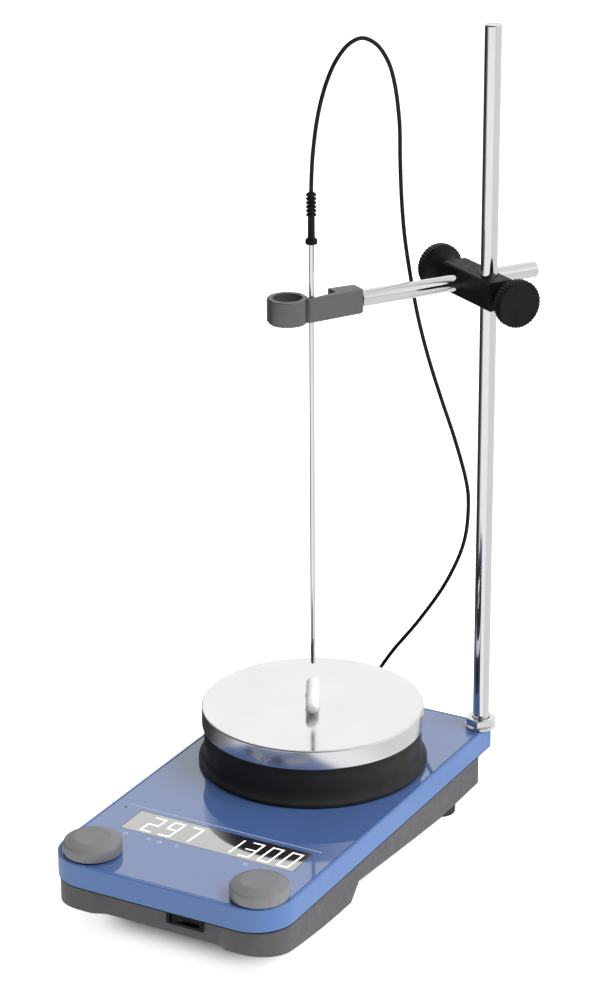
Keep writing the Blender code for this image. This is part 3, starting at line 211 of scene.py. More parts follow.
def make_plastics():
    blue = Finish("cover_blue", (0.076, 0.162, 0.385), 0.34, IOR=1.5)
    blue.mottle(45, 0.035).vary_roughness(0.30, 0.40, 160)
    blue.cells(2600, 0.00002, 0.35).grain(260, 0.00004, strength=0.12)
    panel = Finish("panel_blue", (0.072, 0.138, 0.340), 0.05, IOR=2.15, Coat_Weight=0.4, Coat_Roughness=0.03)
    panel.mottle(30, 0.025).vary_roughness(0.035, 0.075, 70, 6).grain(120, 0.00002, strength=0.03)
    glass = Finish("display_glass", (0.56, 0.565, 0.545), 0.04, 1.0)
    glass.mottle(60, 0.02).vary_roughness(0.03, 0.06, 90, 5)
    face = Finish("display_face", (0.035, 0.040, 0.045), 0.30)
    face.mottle(300, 0.15).grain(900, 0.00002, strength=0.2)
    grey = Finish("base_grey", (0.076, 0.075, 0.079), 0.52, IOR=1.45)
    grey.mottle(70, 0.05).vary_roughness(0.46, 0.60, 240)
    grey.cells(1900, 0.00005, 0.45).grain(500, 0.00004, strength=0.2)
    knob = Finish("knob_grey", (0.186, 0.188, 0.196), 0.46, IOR=1.45)
    knob.mottle(120, 0.04).vary_roughness(0.42, 0.54, 300).cells(2800, 0.00002, 0.30)
    black = Finish("black_plastic", (0.0072, 0.0068, 0.0062), 0.40, Specular_IOR_Level=0.14)
    black.mottle(150, 0.20).vary_roughness(0.36, 0.50, 260).cells(2200, 0.00004, 0.45)
    ring = Finish("ring_black", (0.0230, 0.0228, 0.0224), 0.42, Specular_IOR_Level=0.10)
    ring.mottle(90, 0.12).vary_roughness(0.32, 0.44, 130, 4).grain(700, 0.00003, strength=0.25)
    holder = Finish("holder_grey", (0.055, 0.055, 0.060), 0.30, IOR=1.9)
    holder.mottle(110, 0.05).vary_roughness(0.36, 0.48, 260).cells(2300, 0.00004, 0.40)
    rubber = Finish("foot_rubber", (0.022, 0.022, 0.022), 0.82)
    rubber.mottle(220, 0.18).grain(1500, 0.00008, strength=0.5)
    jacket = Finish("cable_jacket", (0.0070, 0.0070, 0.0072), 0.40, Specular_IOR_Level=0.20)
    jacket.mottle(400, 0.15).vary_roughness(0.34, 0.48, 500).grain(1800, 0.00002, strength=0.4)
    white = Finish("white_fluoropolymer", (0.83, 0.84, 0.85), 0.36,
                   Subsurface_Weight=0.15, Subsurface_Scale=0.002)
    white.mottle(200, 0.02).vary_roughness(0.32, 0.44, 300).grain(900, 0.00002, strength=0.3)
    mica = Finish("insulation", (0.62, 0.56, 0.44), 0.9)
    mica.mottle(300, 0.10, 6).grain(1200, 0.0002, 6, strength=0.6)
    board = Finish("board_green", (0.020, 0.110, 0.050), 0.35, Coat_Weight=0.4)
    board.mottle(160, 0.25, 5).grain(600, 0.00003, strength=0.4)
    ink = Finish("panel_print", (0.62, 0.68, 0.84), 0.35)
    ink.mottle(500, 0.04).grain(2500, 0.00001, strength=0.3)
    dark = Finish("sensor_black", (0.008, 0.008, 0.010), 0.12)
    dark.mottle(900, 0.2)


def make_metals():
    plate = Finish("plate_alloy", (0.86, 0.865, 0.87), 0.10, 1.0)
    plate.mottle(25, 0.02).vary_roughness(0.07, 0.15, 60, 6)
    plate.turned_rings((PLATE.x, PLATE.y), 0.0006, 0.000002, 0.35)
    side = Finish("plate_side", (0.80, 0.80, 0.81), 0.24, 1.0)
    side.mottle(40, 0.015).vary_roughness(0.21, 0.27, 60, 4)
    chrome = Finish("bright_steel", (0.80, 0.80, 0.81), 0.06, 1.0)
    chrome.mottle(60, 0.015).vary_roughness(0.04, 0.09, 90, 5, (1, 1, 0.2))
    chrome.grain(900, 0.000004, 4, (1, 1, 0.03), 0.25)
    steel = Finish("plain_steel", (0.52, 0.52, 0.53), 0.32, 1.0)
    steel.mottle(90, 0.06).vary_roughness(0.26, 0.40, 200, 5).grain(900, 0.00002, 4, (1, 1, 0.15), 0.4)
    copper = Finish("copper_winding", (0.55, 0.24, 0.09), 0.36, 0.9)
    copper.mottle(400, 0.15).grain(2600, 0.0002, 2, (0.1, 0.1, 1), 0.7)
    nickel = Finish("magnet_nickel", (0.46, 0.45, 0.43), 0.24, 1.0)
    nickel.mottle(120, 0.05).vary_roughness(0.2, 0.3, 260)


def make_glow():
    """White display segments that shine a little by themselves."""
    glow = Finish("segment_white", (0.95, 0.96, 0.97), 0.4,
                  Emission_Color=(1, 1, 1, 1), Emission_Strength=0.75)
    glow.mottle(300, 0.02)


# ---------------------------------------------------------------- outlines


def arc(centre, radius, start, end, steps):
    points = []
    for step in range(steps + 1):
        angle = math.radians(start + (end - start) * step / steps)
        points.append((centre[0] + radius * math.cos(angle), centre[1] + radius * math.sin(angle)))
    return points


# A corner this close to straight, by half its angle, stays a plain point.
STRAIGHT = math.radians(88)
# A fillet takes no more than this share of each side it lies on.
FILLET_SHARE = 0.49
# A radius below this is a point on the axis.
ON_AXIS = 1e-7


def rounded(corners, steps=5):
    """A closed outline from (x, y, fillet radius) corners."""
    points = []
    for index, (x, y, radius) in enumerate(corners):
        here = Vector((x, y))
        if radius <= 0:
            points.append((x, y))
            continue
        before = Vector(corners[index - 1][:2]) - here
        after = Vector(corners[(index + 1) % len(corners)][:2]) - here
        half = before.angle(after) / 2
        if half > STRAIGHT:
            points.append((x, y))
            continue
        reach = min(radius / math.tan(half), before.length * FILLET_SHARE, after.length * FILLET_SHARE)
        radius = reach * math.tan(half)
        start = here + before.normalized() * reach
        end = here + after.normalized() * reach
        inwards = (before.normalized() + after.normalized()).normalized()
        centre = here + inwards * (radius / math.sin(half))
        first, last = start - centre, end - centre
        sweep = first.angle_signed(last)
        for step in range(steps + 1):
            spoke = first.copy()
            spoke.rotate(Matrix.Rotation(-sweep * step / steps, 2))
            points.append(tuple(centre + spoke))
    return points


# ---------------------------------------------------------------- solids


def add_piece(name, builder, look, body, sharp=38, stands_for=(), slot=None):
    bmesh.ops.recalc_face_normals(builder, faces=builder.faces)
    mesh = bpy.data.meshes.new(name)
    builder.to_mesh(mesh)
    builder.free()
    mesh.shade_smooth()
    mesh.set_sharp_from_angle(angle=math.radians(sharp))
    mesh.materials.append(looks[look])
    piece = bpy.data.objects.new(name, mesh)
    bpy.context.scene.collection.objects.link(piece)
    if body:
        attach(piece, body)
    if stands_for:
        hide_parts(*stands_for)
    return piece


def bridge(builder, loops, closed=False):
    """Quads or triangles between successive loops, where a loop of one vertex is a pole."""
    pairs = list(zip(loops, loops[1:]))
    if closed:
        pairs.append((loops[-1], loops[0]))
    for low, high in pairs:
        count = max(len(low), len(high))
        if count == 1:
            continue
        for index in range(count):
            following = (index + 1) % count
            corners = []
            for loop, place in ((low, index), (low, following), (high, following), (high, index)):
                vertex = loop[place] if len(loop) > 1 else loop[0]
                if vertex not in corners:
                    corners.append(vertex)
            builder.faces.new(corners)


def lathe(name, profile, axis, look, body, segments=96, shape=None, **extra):
    """Turns a closed (radius, height) profile about an axis matrix.

    shape(angle, radius, height) may change the radius round the turn, as flutes and flats do.
    """
    builder = bmesh.new()
    loops = []
    for radius, height in profile:
        if radius < ON_AXIS:
            loops.append([builder.verts.new(axis @ Vector((0, 0, height)))])
            continue
        loop = []
        for segment in range(segments):
            angle = math.tau * segment / segments
            reach = shape(angle, radius, height) if shape else radius
            place = Vector((reach * math.cos(angle), reach * math.sin(angle), height))
            loop.append(builder.verts.new(axis @ place))
        loops.append(loop)
    solid = profile[0][0] < ON_AXIS and profile[-1][0] < ON_AXIS
    bridge(builder, loops, closed=not solid)
    return add_piece(name, builder, look, body, **extra)


def upright(place):
    return Matrix.Translation((place.x, place.y, 0))


WELD_DISTANCE = 0.000002
# Edges sharper than this are rounded.
EASED_ANGLE = math.radians(28)
FLATNESS_WEIGHT = 60


def ease_edges(node, width, look, segments=3):
    """Rounds a CAD node's edges without touching its mesh, and gives it a finish."""
    piece = nodes[node]
    piece.data.polygons.foreach_set("use_smooth", [True] * len(piece.data.polygons))
    piece.data.materials.clear()
    piece.data.materials.append(looks[look])
    weld = piece.modifiers.new("weld", "WELD")
    weld.merge_threshold = WELD_DISTANCE
    bevel = piece.modifiers.new("edges", "BEVEL")
    bevel.width = width
    bevel.segments = segments
    bevel.limit_method = "ANGLE"
    bevel.angle_limit = EASED_ANGLE
    bevel.use_clamp_overlap = True
    bevel.harden_normals = False
    normals = piece.modifiers.new("normals", "WEIGHTED_NORMAL")
    normals.keep_sharp = False
    normals.weight = FLATNESS_WEIGHT


# ---------------------------------------------------------------- probe cable

CABLE_DIAMETER = 0.0024
CABLE_SIDES = 14
# The cable's middle line, in metres: across and along from the cover's middle, and up from the bench.
CABLE_ROUTE = [
    (-0.0032, 0.0512, 0.4029),
    (-0.0030, 0.0512, 0.4096),
    (-0.0025, 0.0515, 0.4213),
    (-0.0016, 0.0522, 0.4329),
    (-0.0004, 0.0534, 0.4444),
    (0.0013, 0.0554, 0.4557),
    (0.0035, 0.0585, 0.4667),
    (0.0069, 0.0630, 0.4776),
    (0.0118, 0.0690, 0.4861),
    (0.0169, 0.0750, 0.4888),
    (0.0222, 0.0820, 0.4846),
    (0.0264, 0.0880, 0.4747),
    (0.0283, 0.0925, 0.4624),
    (0.0281, 0.1000, 0.4375),
    (0.0253, 0.1070, 0.4119),
    (0.0229, 0.1140, 0.3860),
    (0.0218, 0.1210, 0.3597),
    (0.0226, 0.1290, 0.3299),
    (0.0243, 0.1350, 0.3066),
    (0.0286, 0.1410, 0.2801),
    (0.0345, 0.1470, 0.2536),
    (0.0415, 0.1520, 0.2272),
    (0.0469, 0.1570, 0.2003),
    (0.0476, 0.1595, 0.1863),
    (0.0432, 0.1640, 0.1572),
    (0.0297, 0.1680, 0.1259),
    (0.0091, 0.1700, 0.0934),
    (-0.0102, 0.1720, 0.0676),
    (-0.0240, 0.1780, 0.0480),
    (-0.0340, 0.1840, 0.0345),
    (-0.0402, 0.1850, 0.0252),
    (-0.0419, 0.1790, 0.0222),
    (-0.0420, 0.1686, 0.0220),
]
# Each stretch of the route is one piece: its name, the body it starts on, the body it ends on, and the places
# of the route where it starts and ends.
CABLE_STRETCHES = (
    ("cable_at_probe", "holder", "probe", 13, 0),
    ("cable_at_holder", "arm", "holder", 15, 13),
    ("cable_at_arm", "boss", "arm", 18, 15),
    ("cable_at_boss", "rod", "boss", 23, 18),
    ("cable_at_base", "root", "rod", 32, 23),
)
STEPS_PER_PLACE = 10


def smooth_route(route):
    """A centripetal Catmull-Rom curve through the route, with the same steps between all its points."""
    points = [Vector((x + COVER.x, y + COVER.y, z)) for x, y, z in route]
    points = [points[0] * 2 - points[1]] + points + [points[-1] * 2 - points[-2]]
    dense = []
    for before, start, end, after in zip(points, points[1:], points[2:], points[3:]):
        t0 = 0.0
        t1 = t0 + math.sqrt((start - before).length)
        t2 = t1 + math.sqrt((end - start).length)
        t3 = t2 + math.sqrt((after - end).length)
        for step in range(STEPS_PER_PLACE):
            t = t1 + (t2 - t1) * step / STEPS_PER_PLACE
            a1 = before * ((t1 - t) / (t1 - t0)) + start * ((t - t0) / (t1 - t0))
            a2 = start * ((t2 - t) / (t2 - t1)) + end * ((t - t1) / (t2 - t1))
            a3 = end * ((t3 - t) / (t3 - t2)) + after * ((t - t2) / (t3 - t2))
            b1 = a1 * ((t2 - t) / (t2 - t0)) + a2 * ((t - t0) / (t2 - t0))
            b2 = a2 * ((t3 - t) / (t3 - t1)) + a3 * ((t - t1) / (t3 - t1))
            dense.append(b1 * ((t2 - t) / (t2 - t1)) + b2 * ((t - t1) / (t2 - t1)))
    dense.append(points[-2])
    return dense


def tube_frames(line):
    """A sideways direction at each point that turns as little as possible along the line."""
    frames = []
    side = Vector((1, 0, 0))
    for index, point in enumerate(line):
        ahead = line[min(index + 1, len(line) - 1)] - line[max(index - 1, 0)]
        ahead.normalize()
        side = (side - ahead * side.dot(ahead)).normalized()
        frames.append((point, side.copy(), ahead.cross(side)))
    return frames


def make_cable():
    line = smooth_route(CABLE_ROUTE)
    frames = tube_frames(line)
    for name, near, far, start, end in CABLE_STRETCHES:
        first, last = sorted((start * STEPS_PER_PLACE, end * STEPS_PER_PLACE))
        builder = bmesh.new()
        loops = []
        for point, side, across in frames[first:last + 1]:
            loop = []
            for corner in range(CABLE_SIDES):
                angle = math.tau * corner / CABLE_SIDES
                away = (side * math.cos(angle) + across * math.sin(angle)) * (CABLE_DIAMETER / 2)
                loop.append(builder.verts.new(point + away))
            loops.append(loop)
        bridge(builder, loops)
        builder.faces.new(loops[0])
        builder.faces.new(loops[-1])
        piece = add_piece(name, builder, "cable_jacket", None, sharp=60)
        path = line[first:last + 1]
        if start > end:
            path = list(reversed(path))
        low, high = path[0], path[-1]
        if name == "cable_at_probe":
            low = Vector((low.x, low.y, high.z))
        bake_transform(piece)
    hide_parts("probe_cable")


# ---------------------------------------------------------------- controls


def make_knob(side):
    """A push-and-turn knob: soft-edged drum with a shallow crown, hollow underneath."""
    name = f"{side}_knob"
    low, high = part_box(name)
    radius = radius_of(name)
    inside = radius - 0.0018
    bore, collar = 0.0033, 0.0052
    bore_top, ceiling, collar_end = low.z + 0.0068, low.z + 0.0058, low.z + 0.0004
    crown = 0.0102
    shoulder = high.z - 0.0026
    profile = rounded([
        (0, high.z, 0),
        (0, bore_top, 0),
        (bore, bore_top, 0),
        (bore, collar_end, 0.0003),
        (collar, collar_end, 0.0003),
        (collar, ceiling, 0.0006),
        (inside, ceiling, 0.0008),
        (inside, low.z, 0.0003),
        (radius, low.z, 0.0004),
        (radius, shoulder, 0.0022),
        (crown + 0.0009, high.z - 0.0001, 0.0004),
        (crown, high.z, 0.0003),
    ])
    turn = [point for point in profile if point[0] > ON_AXIS]
    dish = [(crown * 0.5, high.z - 0.00022), (0, high.z - 0.00030)]
    turn = [(0, bore_top)] + turn + dish
    lathe(name + "_cap", turn, upright(middle(name)), "knob_grey", f"{side}_dial", 128, stands_for=(name,))


def make_switch():
    ease_edges("switch_frame", 0.00035, "black_plastic")
    ease_edges("switch_rocker", 0.00030, "black_plastic")


# ---------------------------------------------------------------- display and print

SEGMENTS = {
    "0": "abcdef",
    "1": "bc",
    "2": "abged",
    "3": "abgcd",
    "7": "abc",
    "9": "abcdfg",
}
DIGIT_WIDTH = 0.0066
DIGIT_HEIGHT = 0.0168
DIGIT_PITCH = 0.0127
DIGIT_SLANT = 0.075
STROKE = 0.00105
# The digits' lower edge from the window's, and where each reading starts from its middle.
DIGIT_MARGIN = 0.0028
READINGS = (("left_reading", "297", -0.0455), ("right_reading", "1300", 0.0076))
PRINT_BOTTOM = PANEL_TOP + 0.00001
PRINT_TOP = PANEL_TOP + 0.00006


def add_mark(builder, outline):
    """A thin layer of print over an outline."""
    loops = [[builder.verts.new((x, y, z)) for x, y in outline] for z in (PRINT_BOTTOM, PRINT_TOP)]
    bridge(builder, loops)
    builder.faces.new(loops[-1])
    builder.faces.new(list(reversed(loops[0])))


def bar_outline(low, high):
    return [(low[0], low[1]), (high[0], low[1]), (high[0], high[1]), (low[0], high[1])]


def segment_bars(symbol):
    """The lit bars of a seven-segment digit: level ones run full width, upright ones end at them."""
    half = DIGIT_HEIGHT / 2
    edge = STROKE / 2
    lit = SEGMENTS[symbol]
    levels = {"d": 0, "g": half, "a": 2 * half}
    bars = []
    for name, y in levels.items():
        if name in lit:
            bars.append(bar_outline((-edge, y - edge), (DIGIT_WIDTH + edge, y + edge)))
    for name, x, low, high in (("b", DIGIT_WIDTH, "g", "a"), ("c", DIGIT_WIDTH, "d", "g"),
                               ("e", 0, "d", "g"), ("f", 0, "g", "a")):
        if name in lit:
            bottom = levels[low] + (edge if low in lit else 0)
            top = levels[high] - (edge if high in lit else 0)
            bars.append(bar_outline((x - edge, bottom), (x + edge, top)))
    return bars


def make_digits():
    window_low, window_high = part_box("display_window")
    centre = (window_low.x + window_high.x) / 2
    bottom = window_low.y + DIGIT_MARGIN
    for name, text, left in READINGS:
        builder = bmesh.new()
        for index, symbol in enumerate(text):
            start = centre + left + index * DIGIT_PITCH
            for bar in segment_bars(symbol):
                outline = [(start + x + y * DIGIT_SLANT, bottom + y) for x, y in bar]
                add_mark(builder, outline)
        add_piece(name, builder, "segment_white", "root", slot="display_face")


def add_ring_mark(builder, centre, outer, inner, steps=28):
    """A thin printed ring."""
    rows = []
    for step in range(steps):
        angle = math.radians(360 * step / steps)
        spoke = Vector((math.cos(angle), math.sin(angle)))
        row = []
        section = ((inner, PRINT_BOTTOM), (outer, PRINT_BOTTOM), (outer, PRINT_TOP), (inner, PRINT_TOP))
        for radius, z in section:
            place = Vector(centre) + spoke * radius
            row.append(builder.verts.new((place.x, place.y, z)))
        rows.append(row)
    bridge(builder, rows, closed=True)


# Places on the panel, from the cover's middle.
LINE_ENDS = (-0.066, 0.064)
LINE_ROW = -0.0617
MARK_ROW = -0.0945
MARKS = (-0.0480, -0.0325, -0.0250, -0.0135, 0.0320)
SENSOR_PLACE = (-0.0655, -0.0662)
SENSOR_RADIUS = 0.0008
# Half the width of printed lines and bars, half a bar's length, and its distance from its mark's middle.
THIN = 0.0002
BAR_HALF = 0.0014
BAR_SHIFT = 0.0006
RING_OUTER = 0.0013
RING_INNER = 0.0009


def make_print():
    """Generic marks on the panel: a fine line, simple symbols and a round sensor window."""
    builder = bmesh.new()
    y = COVER.y + LINE_ROW
    add_mark(builder, bar_outline((COVER.x + LINE_ENDS[0], y - THIN), (COVER.x + LINE_ENDS[1], y + THIN)))
    row = COVER.y + MARK_ROW
    for index, across in enumerate(MARKS):
        x = COVER.x + across
        if index % 2 == 0:
            add_ring_mark(builder, (x, row), RING_OUTER, RING_INNER)
            continue
        for shift in (-BAR_SHIFT, BAR_SHIFT):
            y = row + shift
            add_mark(builder, bar_outline((x - BAR_HALF, y - THIN), (x + BAR_HALF, y + THIN)))
    add_piece("panel_marks", builder, "panel_print", "root", slot="panel_blue")
    builder = bmesh.new()
    centre = (COVER.x + SENSOR_PLACE[0], COVER.y + SENSOR_PLACE[1])
    add_mark(builder, arc(centre, SENSOR_RADIUS, 0, 345, 23))
    add_piece("ambient_sensor", builder, "sensor_black", "root", slot="display_glass")


# ---------------------------------------------------------------- hot plate and ring


def make_plate():
    low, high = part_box("heating_plate")
    radius = radius_of("heating_plate")
    recess, ceiling = 0.050, low.z + 0.0050
    profile = rounded([
        (0, ceiling, 0),
        (recess, ceiling, 0.0005),
        (recess, low.z, 0.0004),
        (radius, low.z, 0.0009),
        (radius, high.z - 0.00004, 0.0011),
        (radius - 0.0030, high.z, 0.0004),
        (0, high.z, 0),
    ], 6)
    disc = lathe("plate_disc", profile, upright(PLATE), "plate_alloy", "root", 256,
                 stands_for=("heating_plate",))
    disc.data.materials.append(looks["plate_side"])
    for face in disc.data.polygons:
        if abs(face.normal.z) < 0.5:
            face.material_index = 1


def make_ring():
    low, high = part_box("ring_housing")
    lip = radius_of("ring_housing")
    wall = lip - 0.0035
    bore, throat, inside = 0.0470, 0.0510, 0.0620
    floor, ceiling = low.z + 0.0035, high.z - 0.0025
    groove = wall - 0.0003
    profile = rounded([
        (bore, low.z, 0.0002),
        (lip, low.z, 0.0008),
        (lip, low.z + 0.0022, 0.0008),
        (wall + 0.0012, low.z + 0.0042, 0.0018),
        (wall, low.z + 0.0070, 0.0040),
        (wall, high.z - 0.0028, 0.0003),
        (groove, high.z - 0.0026, 0.0001),
        (groove, high.z - 0.0022, 0.0001),
        (wall, high.z - 0.0020, 0.0003),
        (wall, high.z, 0.0006),
        (throat, high.z, 0.0003),
        (throat, ceiling, 0.0003),
        (inside, ceiling, 0.0008),
        (inside, floor, 0.0008),
        (bore, floor, 0.0003),
    ], 5)
    lathe("ring_drum", profile, upright(PLATE), "ring_black", "root", 224, stands_for=("ring_housing",))


def make_stir_bar():
    """A rounded bar with a pivot ring, lying level across the plate's middle."""
    low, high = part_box("stir_bar")
    centre = (low + high) / 2
    radius = (high.z - low.z) / 2
    body = radius - 0.0004
    half, fillet = 0.0200, 0.0030
    bearing = math.radians(-62)
    along = Vector((math.cos(bearing), math.sin(bearing), 0))
    axis = Matrix.Translation(centre) @ along.to_track_quat("Z", "Y").to_matrix().to_4x4()
    profile = [(0, -half)]
    profile += arc_profile(body, -half, fillet, lower=True)
    profile += [(body, -0.0026), (radius - 0.0001, -0.0015), (radius, -0.0008)]
    profile += [(radius, 0.0008), (radius - 0.0001, 0.0015), (body, 0.0026)]
    profile += arc_profile(body, half, fillet, lower=False)
    profile += [(0, half)]
    lathe("stir_bar_coat", profile, axis, "white_fluoropolymer", "stirrer", 48, sharp=50,
          stands_for=("stir_bar",))


def arc_profile(radius, height, fillet, lower):
    """A rounded end of a turned bar, as profile points from its axis side outwards or back."""
    sign = 1 if lower else -1
    steps = 8
    points = []
    for step in range(steps + 1):
        angle = math.radians(90 * step / steps)
        reach = radius - fillet + fillet * math.sin(angle)
        points.append((reach, height + sign * fillet * (1 - math.cos(angle))))
    return points if lower else list(reversed(points))


# ---------------------------------------------------------------- stand


def make_rod():
    low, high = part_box("support_rod")
    radius = radius_of("support_rod")
    stud = 0.0030
    shoulder = PANEL_TOP + 0.0006
    profile = rounded([
        (0, low.z, 0),
        (stud, low.z, 0.0004),
        (stud, shoulder, 0.0003),
        (radius, shoulder, 0.0003),
        (radius, high.z, 0.0009),
        (0, high.z, 0),
    ], 6)
    lathe("rod_bar", profile, upright(ROD), "bright_steel", "rod", 72, stands_for=("support_rod",))


def make_nut():
    """A hexagon on a thin round flange, its top corners turned off."""
    low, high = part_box("rod_nut")
    bore = radius_of("support_rod") + 0.00035
    flange = radius_of("rod_nut")
    apothem = 0.00825
    half_side = math.radians(30)
    corner = apothem / math.cos(half_side)
    turned_from = math.radians(12)
    flange_top = low.z + 0.0020

    def hexagon(angle, radius, height):
        if height < flange_top + 0.00005 or radius < apothem * 0.9:
            return radius
        side = (angle - turned_from - half_side) % (2 * half_side) - half_side
        return min(radius, apothem / math.cos(side))

    profile = [
        (bore, low.z),
        (flange - 0.0003, low.z),
        (flange, low.z + 0.0003),
        (flange, low.z + 0.0012),
        (flange - 0.0004, low.z + 0.0017),
        (flange - 0.0012, flange_top),
        (corner, flange_top + 0.00002),
        (corner, flange_top + 0.0001),
        (corner, high.z - 0.0010),
        (corner - 0.0005, high.z - 0.0005),
        (apothem, high.z - 0.0001),
        (apothem - 0.0004, high.z),
        (bore + 0.0005, high.z),
        (bore, high.z - 0.0004),
    ]
    lathe("rod_nut_hexagon", profile, upright(ROD), "bright_steel", "root", 180, hexagon, sharp=20,
          stands_for=("rod_nut",))


def arm_axis():
    """The arm's axis at the boss head, X along it and Y across it, and its distance from the rod."""
    along = Vector(joint("arm_slide")["axis"]).normalized()
    rod_side = Vector((0, 0, 1)).cross(along)
    height = middle("arm_rod").z
    to_arm = middle("arm_rod") - ROD
    place = Vector((ROD.x, ROD.y, height)) + rod_side * to_arm.dot(rod_side)
    turn = Matrix((along, rod_side, Vector((0, 0, 1)))).transposed()
    return Matrix.Translation(place) @ turn.to_4x4(), abs(to_arm.dot(rod_side))


def make_arm():
    axis = arm_axis()[0]
    along = Matrix.Rotation(math.radians(90), 4, "Y")
    radius = radius_of("support_rod")
    spigot, thin = -0.0870, 0.0040
    near, far = -0.0747, 0.0470
    profile = rounded([
        (0, spigot, 0),
        (thin, spigot, 0.0004),
        (thin, near, 0.0002),
        (radius, near, 0.0004),
        (radius, far, 0.0009),
        (0, far, 0),
    ], 6)
    lathe("arm_bar", profile, axis @ along, "bright_steel", "arm", 72, stands_for=("arm_rod",))


FLUTES = 40
FLUTE_DEPTH = 0.00042
# Flutes start at this radius and reach their depth further out.
FLUTE_START = 0.0128
FLUTE_RISE = 0.0008


def fluted(angle, radius, height):
    """Fine rounded flutes on the widest part of a thumbscrew's head."""
    if radius < FLUTE_START:
        return radius
    depth = FLUTE_DEPTH * min(1.0, (radius - FLUTE_START) / FLUTE_RISE)
    return radius - depth * (0.5 - 0.5 * math.cos(FLUTES * angle)) ** 0.7


def make_thumbscrews():
    axis, offset = arm_axis()
    radius = 0.0143
    thread = 0.0030
    gap = 0.0054
    for name, body, turn, tip, face, shoulder, neck in (
        ("arm_thumbscrew", "arm_screw", -90, gap, 0.0365, 0.0295, 0.0163),
        ("rod_thumbscrew", "rod_screw", 90, offset + gap, 0.0570, 0.0500, 0.0366),
    ):
        profile = rounded([
            (0, tip, 0),
            (thread, tip, 0.0005),
            (thread, neck, 0.0002),
            (0.0060, neck, 0.0004),
            (0.0078, shoulder - 0.0035, 0.0060),
            (radius - 0.0006, shoulder - 0.0002, 0.0016),
            (radius, shoulder + 0.0012, 0.0008),
            (radius, face, 0.0011),
            (0.0118, face, 0.0002),
            (0.0114, face - 0.0003, 0.0002),
            (0, face - 0.0003, 0),
        ], 5)
        place = axis @ Matrix.Rotation(math.radians(turn), 4, "X")
        lathe(name + "_grip", profile, place, "black_plastic", body, FLUTES * 8, fluted, sharp=45,
              stands_for=(name,))


# ---------------------------------------------------------------- probe


def make_probe():
    low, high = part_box("probe_tube")
    radius = radius_of("probe_tube")
    tip = arc_profile(radius, low.z, radius * 0.9, lower=True)
    profile = [(0, low.z)] + tip + [(radius, high.z), (0, high.z)]
    lathe("probe_stem", profile, upright(PROBE), "bright_steel", "probe", 40, stands_for=("probe_tube",))
    low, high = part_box("probe_boot")
    inside = radius + 0.0003
    flange, neck, rib_radius = 0.0035, 0.0020, 0.0030
    tube_end = low.z + 0.0123
    corners = [
        (inside, low.z, 0.0001),
        (flange, low.z, 0.0006),
        (flange, low.z + 0.0030, 0.0008),
        (0.0021, low.z + 0.0036, 0.0010),
    ]
    ribs = 6
    start = low.z + 0.0166
    pitch = (high.z - start) / ribs
    for rib in range(ribs):
        bottom = start + rib * pitch
        top = bottom + 0.6 * pitch
        corners += [
            (neck, bottom, 0.0003),
            (rib_radius, bottom + 0.0002, 0.0006),
            (rib_radius, top, 0.0006),
            (neck, top + 0.0002, 0.0003),
        ]
    corners += [(0.0019, high.z, 0.0004), (0, high.z, 0), (0, tube_end, 0), (inside, tube_end, 0)]
    lathe("probe_relief", rounded(corners, 4), upright(PROBE), "black_plastic", "probe", 48,
          stands_for=("probe_boot",))


# ---------------------------------------------------------------- rear connectors and feet


GRIP_RIBS = 24
RIB_DEPTH = 0.0003


def make_plug():
    """The probe's round plug with a ribbed grip, and its tapered boot."""
    low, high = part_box("probe_plug")
    back = Matrix.Translation((SOCKET.x, 0, SOCKET.z)) @ Matrix.Rotation(math.radians(-90), 4, "X")
    radius = radius_of("probe_plug")
    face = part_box("probe_socket")[1].y + 0.0004
    barrel = 0.0058
    profile = rounded([
        (0, low.y, 0),
        (barrel, low.y, 0.0003),
        (barrel, face, 0.0001),
        (radius, face, 0.0005),
        (radius, high.y, 0.0010),
        (0, high.y, 0),
    ], 5)
    grip = subdivided(profile, radius, 0.0012)

    def ribbed(angle, reach, height):
        if reach < radius - 0.00001 or not face + 0.004 < height < high.y - 0.003:
            return reach
        return reach - RIB_DEPTH * (0.5 - 0.5 * math.cos(GRIP_RIBS * angle))

    lathe("plug_grip", grip, back, "black_plastic", "root", 192, ribbed, sharp=45, stands_for=("probe_plug",))
    low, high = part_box("plug_boot")
    profile = rounded([
        (0, low.y, 0),
        (0.0040, low.y, 0.0002),
        (0.0040, low.y + 0.0028, 0.0012),
        (0.0020, high.y, 0.0006),
        (0, high.y, 0),
    ], 5)
    lathe("plug_relief", profile, back, "black_plastic", "root", 48, stands_for=("plug_boot",))
    ease_edges("probe_socket", 0.0002, "plain_steel")


def subdivided(profile, radius, pitch):
    """The profile with extra points along its widest straight run."""
    points = []
    for (r0, z0), (r1, z1) in zip(profile, profile[1:]):
        points.append((r0, z0))
        if abs(r0 - radius) < 1e-6 and abs(r1 - radius) < 1e-6:
            count = max(1, int(abs(z1 - z0) / pitch))
            points += [(radius, z0 + (z1 - z0) * step / count) for step in range(1, count)]
    points.append(profile[-1])
    return points


def make_feet():
    for name in ("front_left", "front_right", "rear_left", "rear_right"):
        node = f"foot_{name}"
        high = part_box(node)[1]
        radius = radius_of(node)
        stem = 0.0026
        shoulder = high.z - 0.0025
        dimple = 0.0008
        profile = rounded([
            (0, dimple, 0),
            (0.0040, dimple, 0.0003),
            (0.0046, 0, 0.0003),
            (radius - 0.0002, 0, 0.0009),
            (radius, shoulder, 0.0007),
            (stem, shoulder, 0.0002),
            (stem, high.z, 0.0005),
            (0, high.z, 0),
        ], 4)
        lathe(node + "_pad", profile, upright(middle(node)), "foot_rubber", "root", 64, stands_for=(node,))


# ---------------------------------------------------------------- painted shadow strip under the cover's edge


COVER_DEPTH = 0.0144
FRONT_CORNER = 0.024
REAR_CORNER = 0.003
# A black strip of painted shadow under the cover's edge: its height, and its insets from the cover's outline.
GAP_SHADOW_HEIGHT = 0.0009
GAP_SHADOW_INSETS = (0.0002, 0.0006)


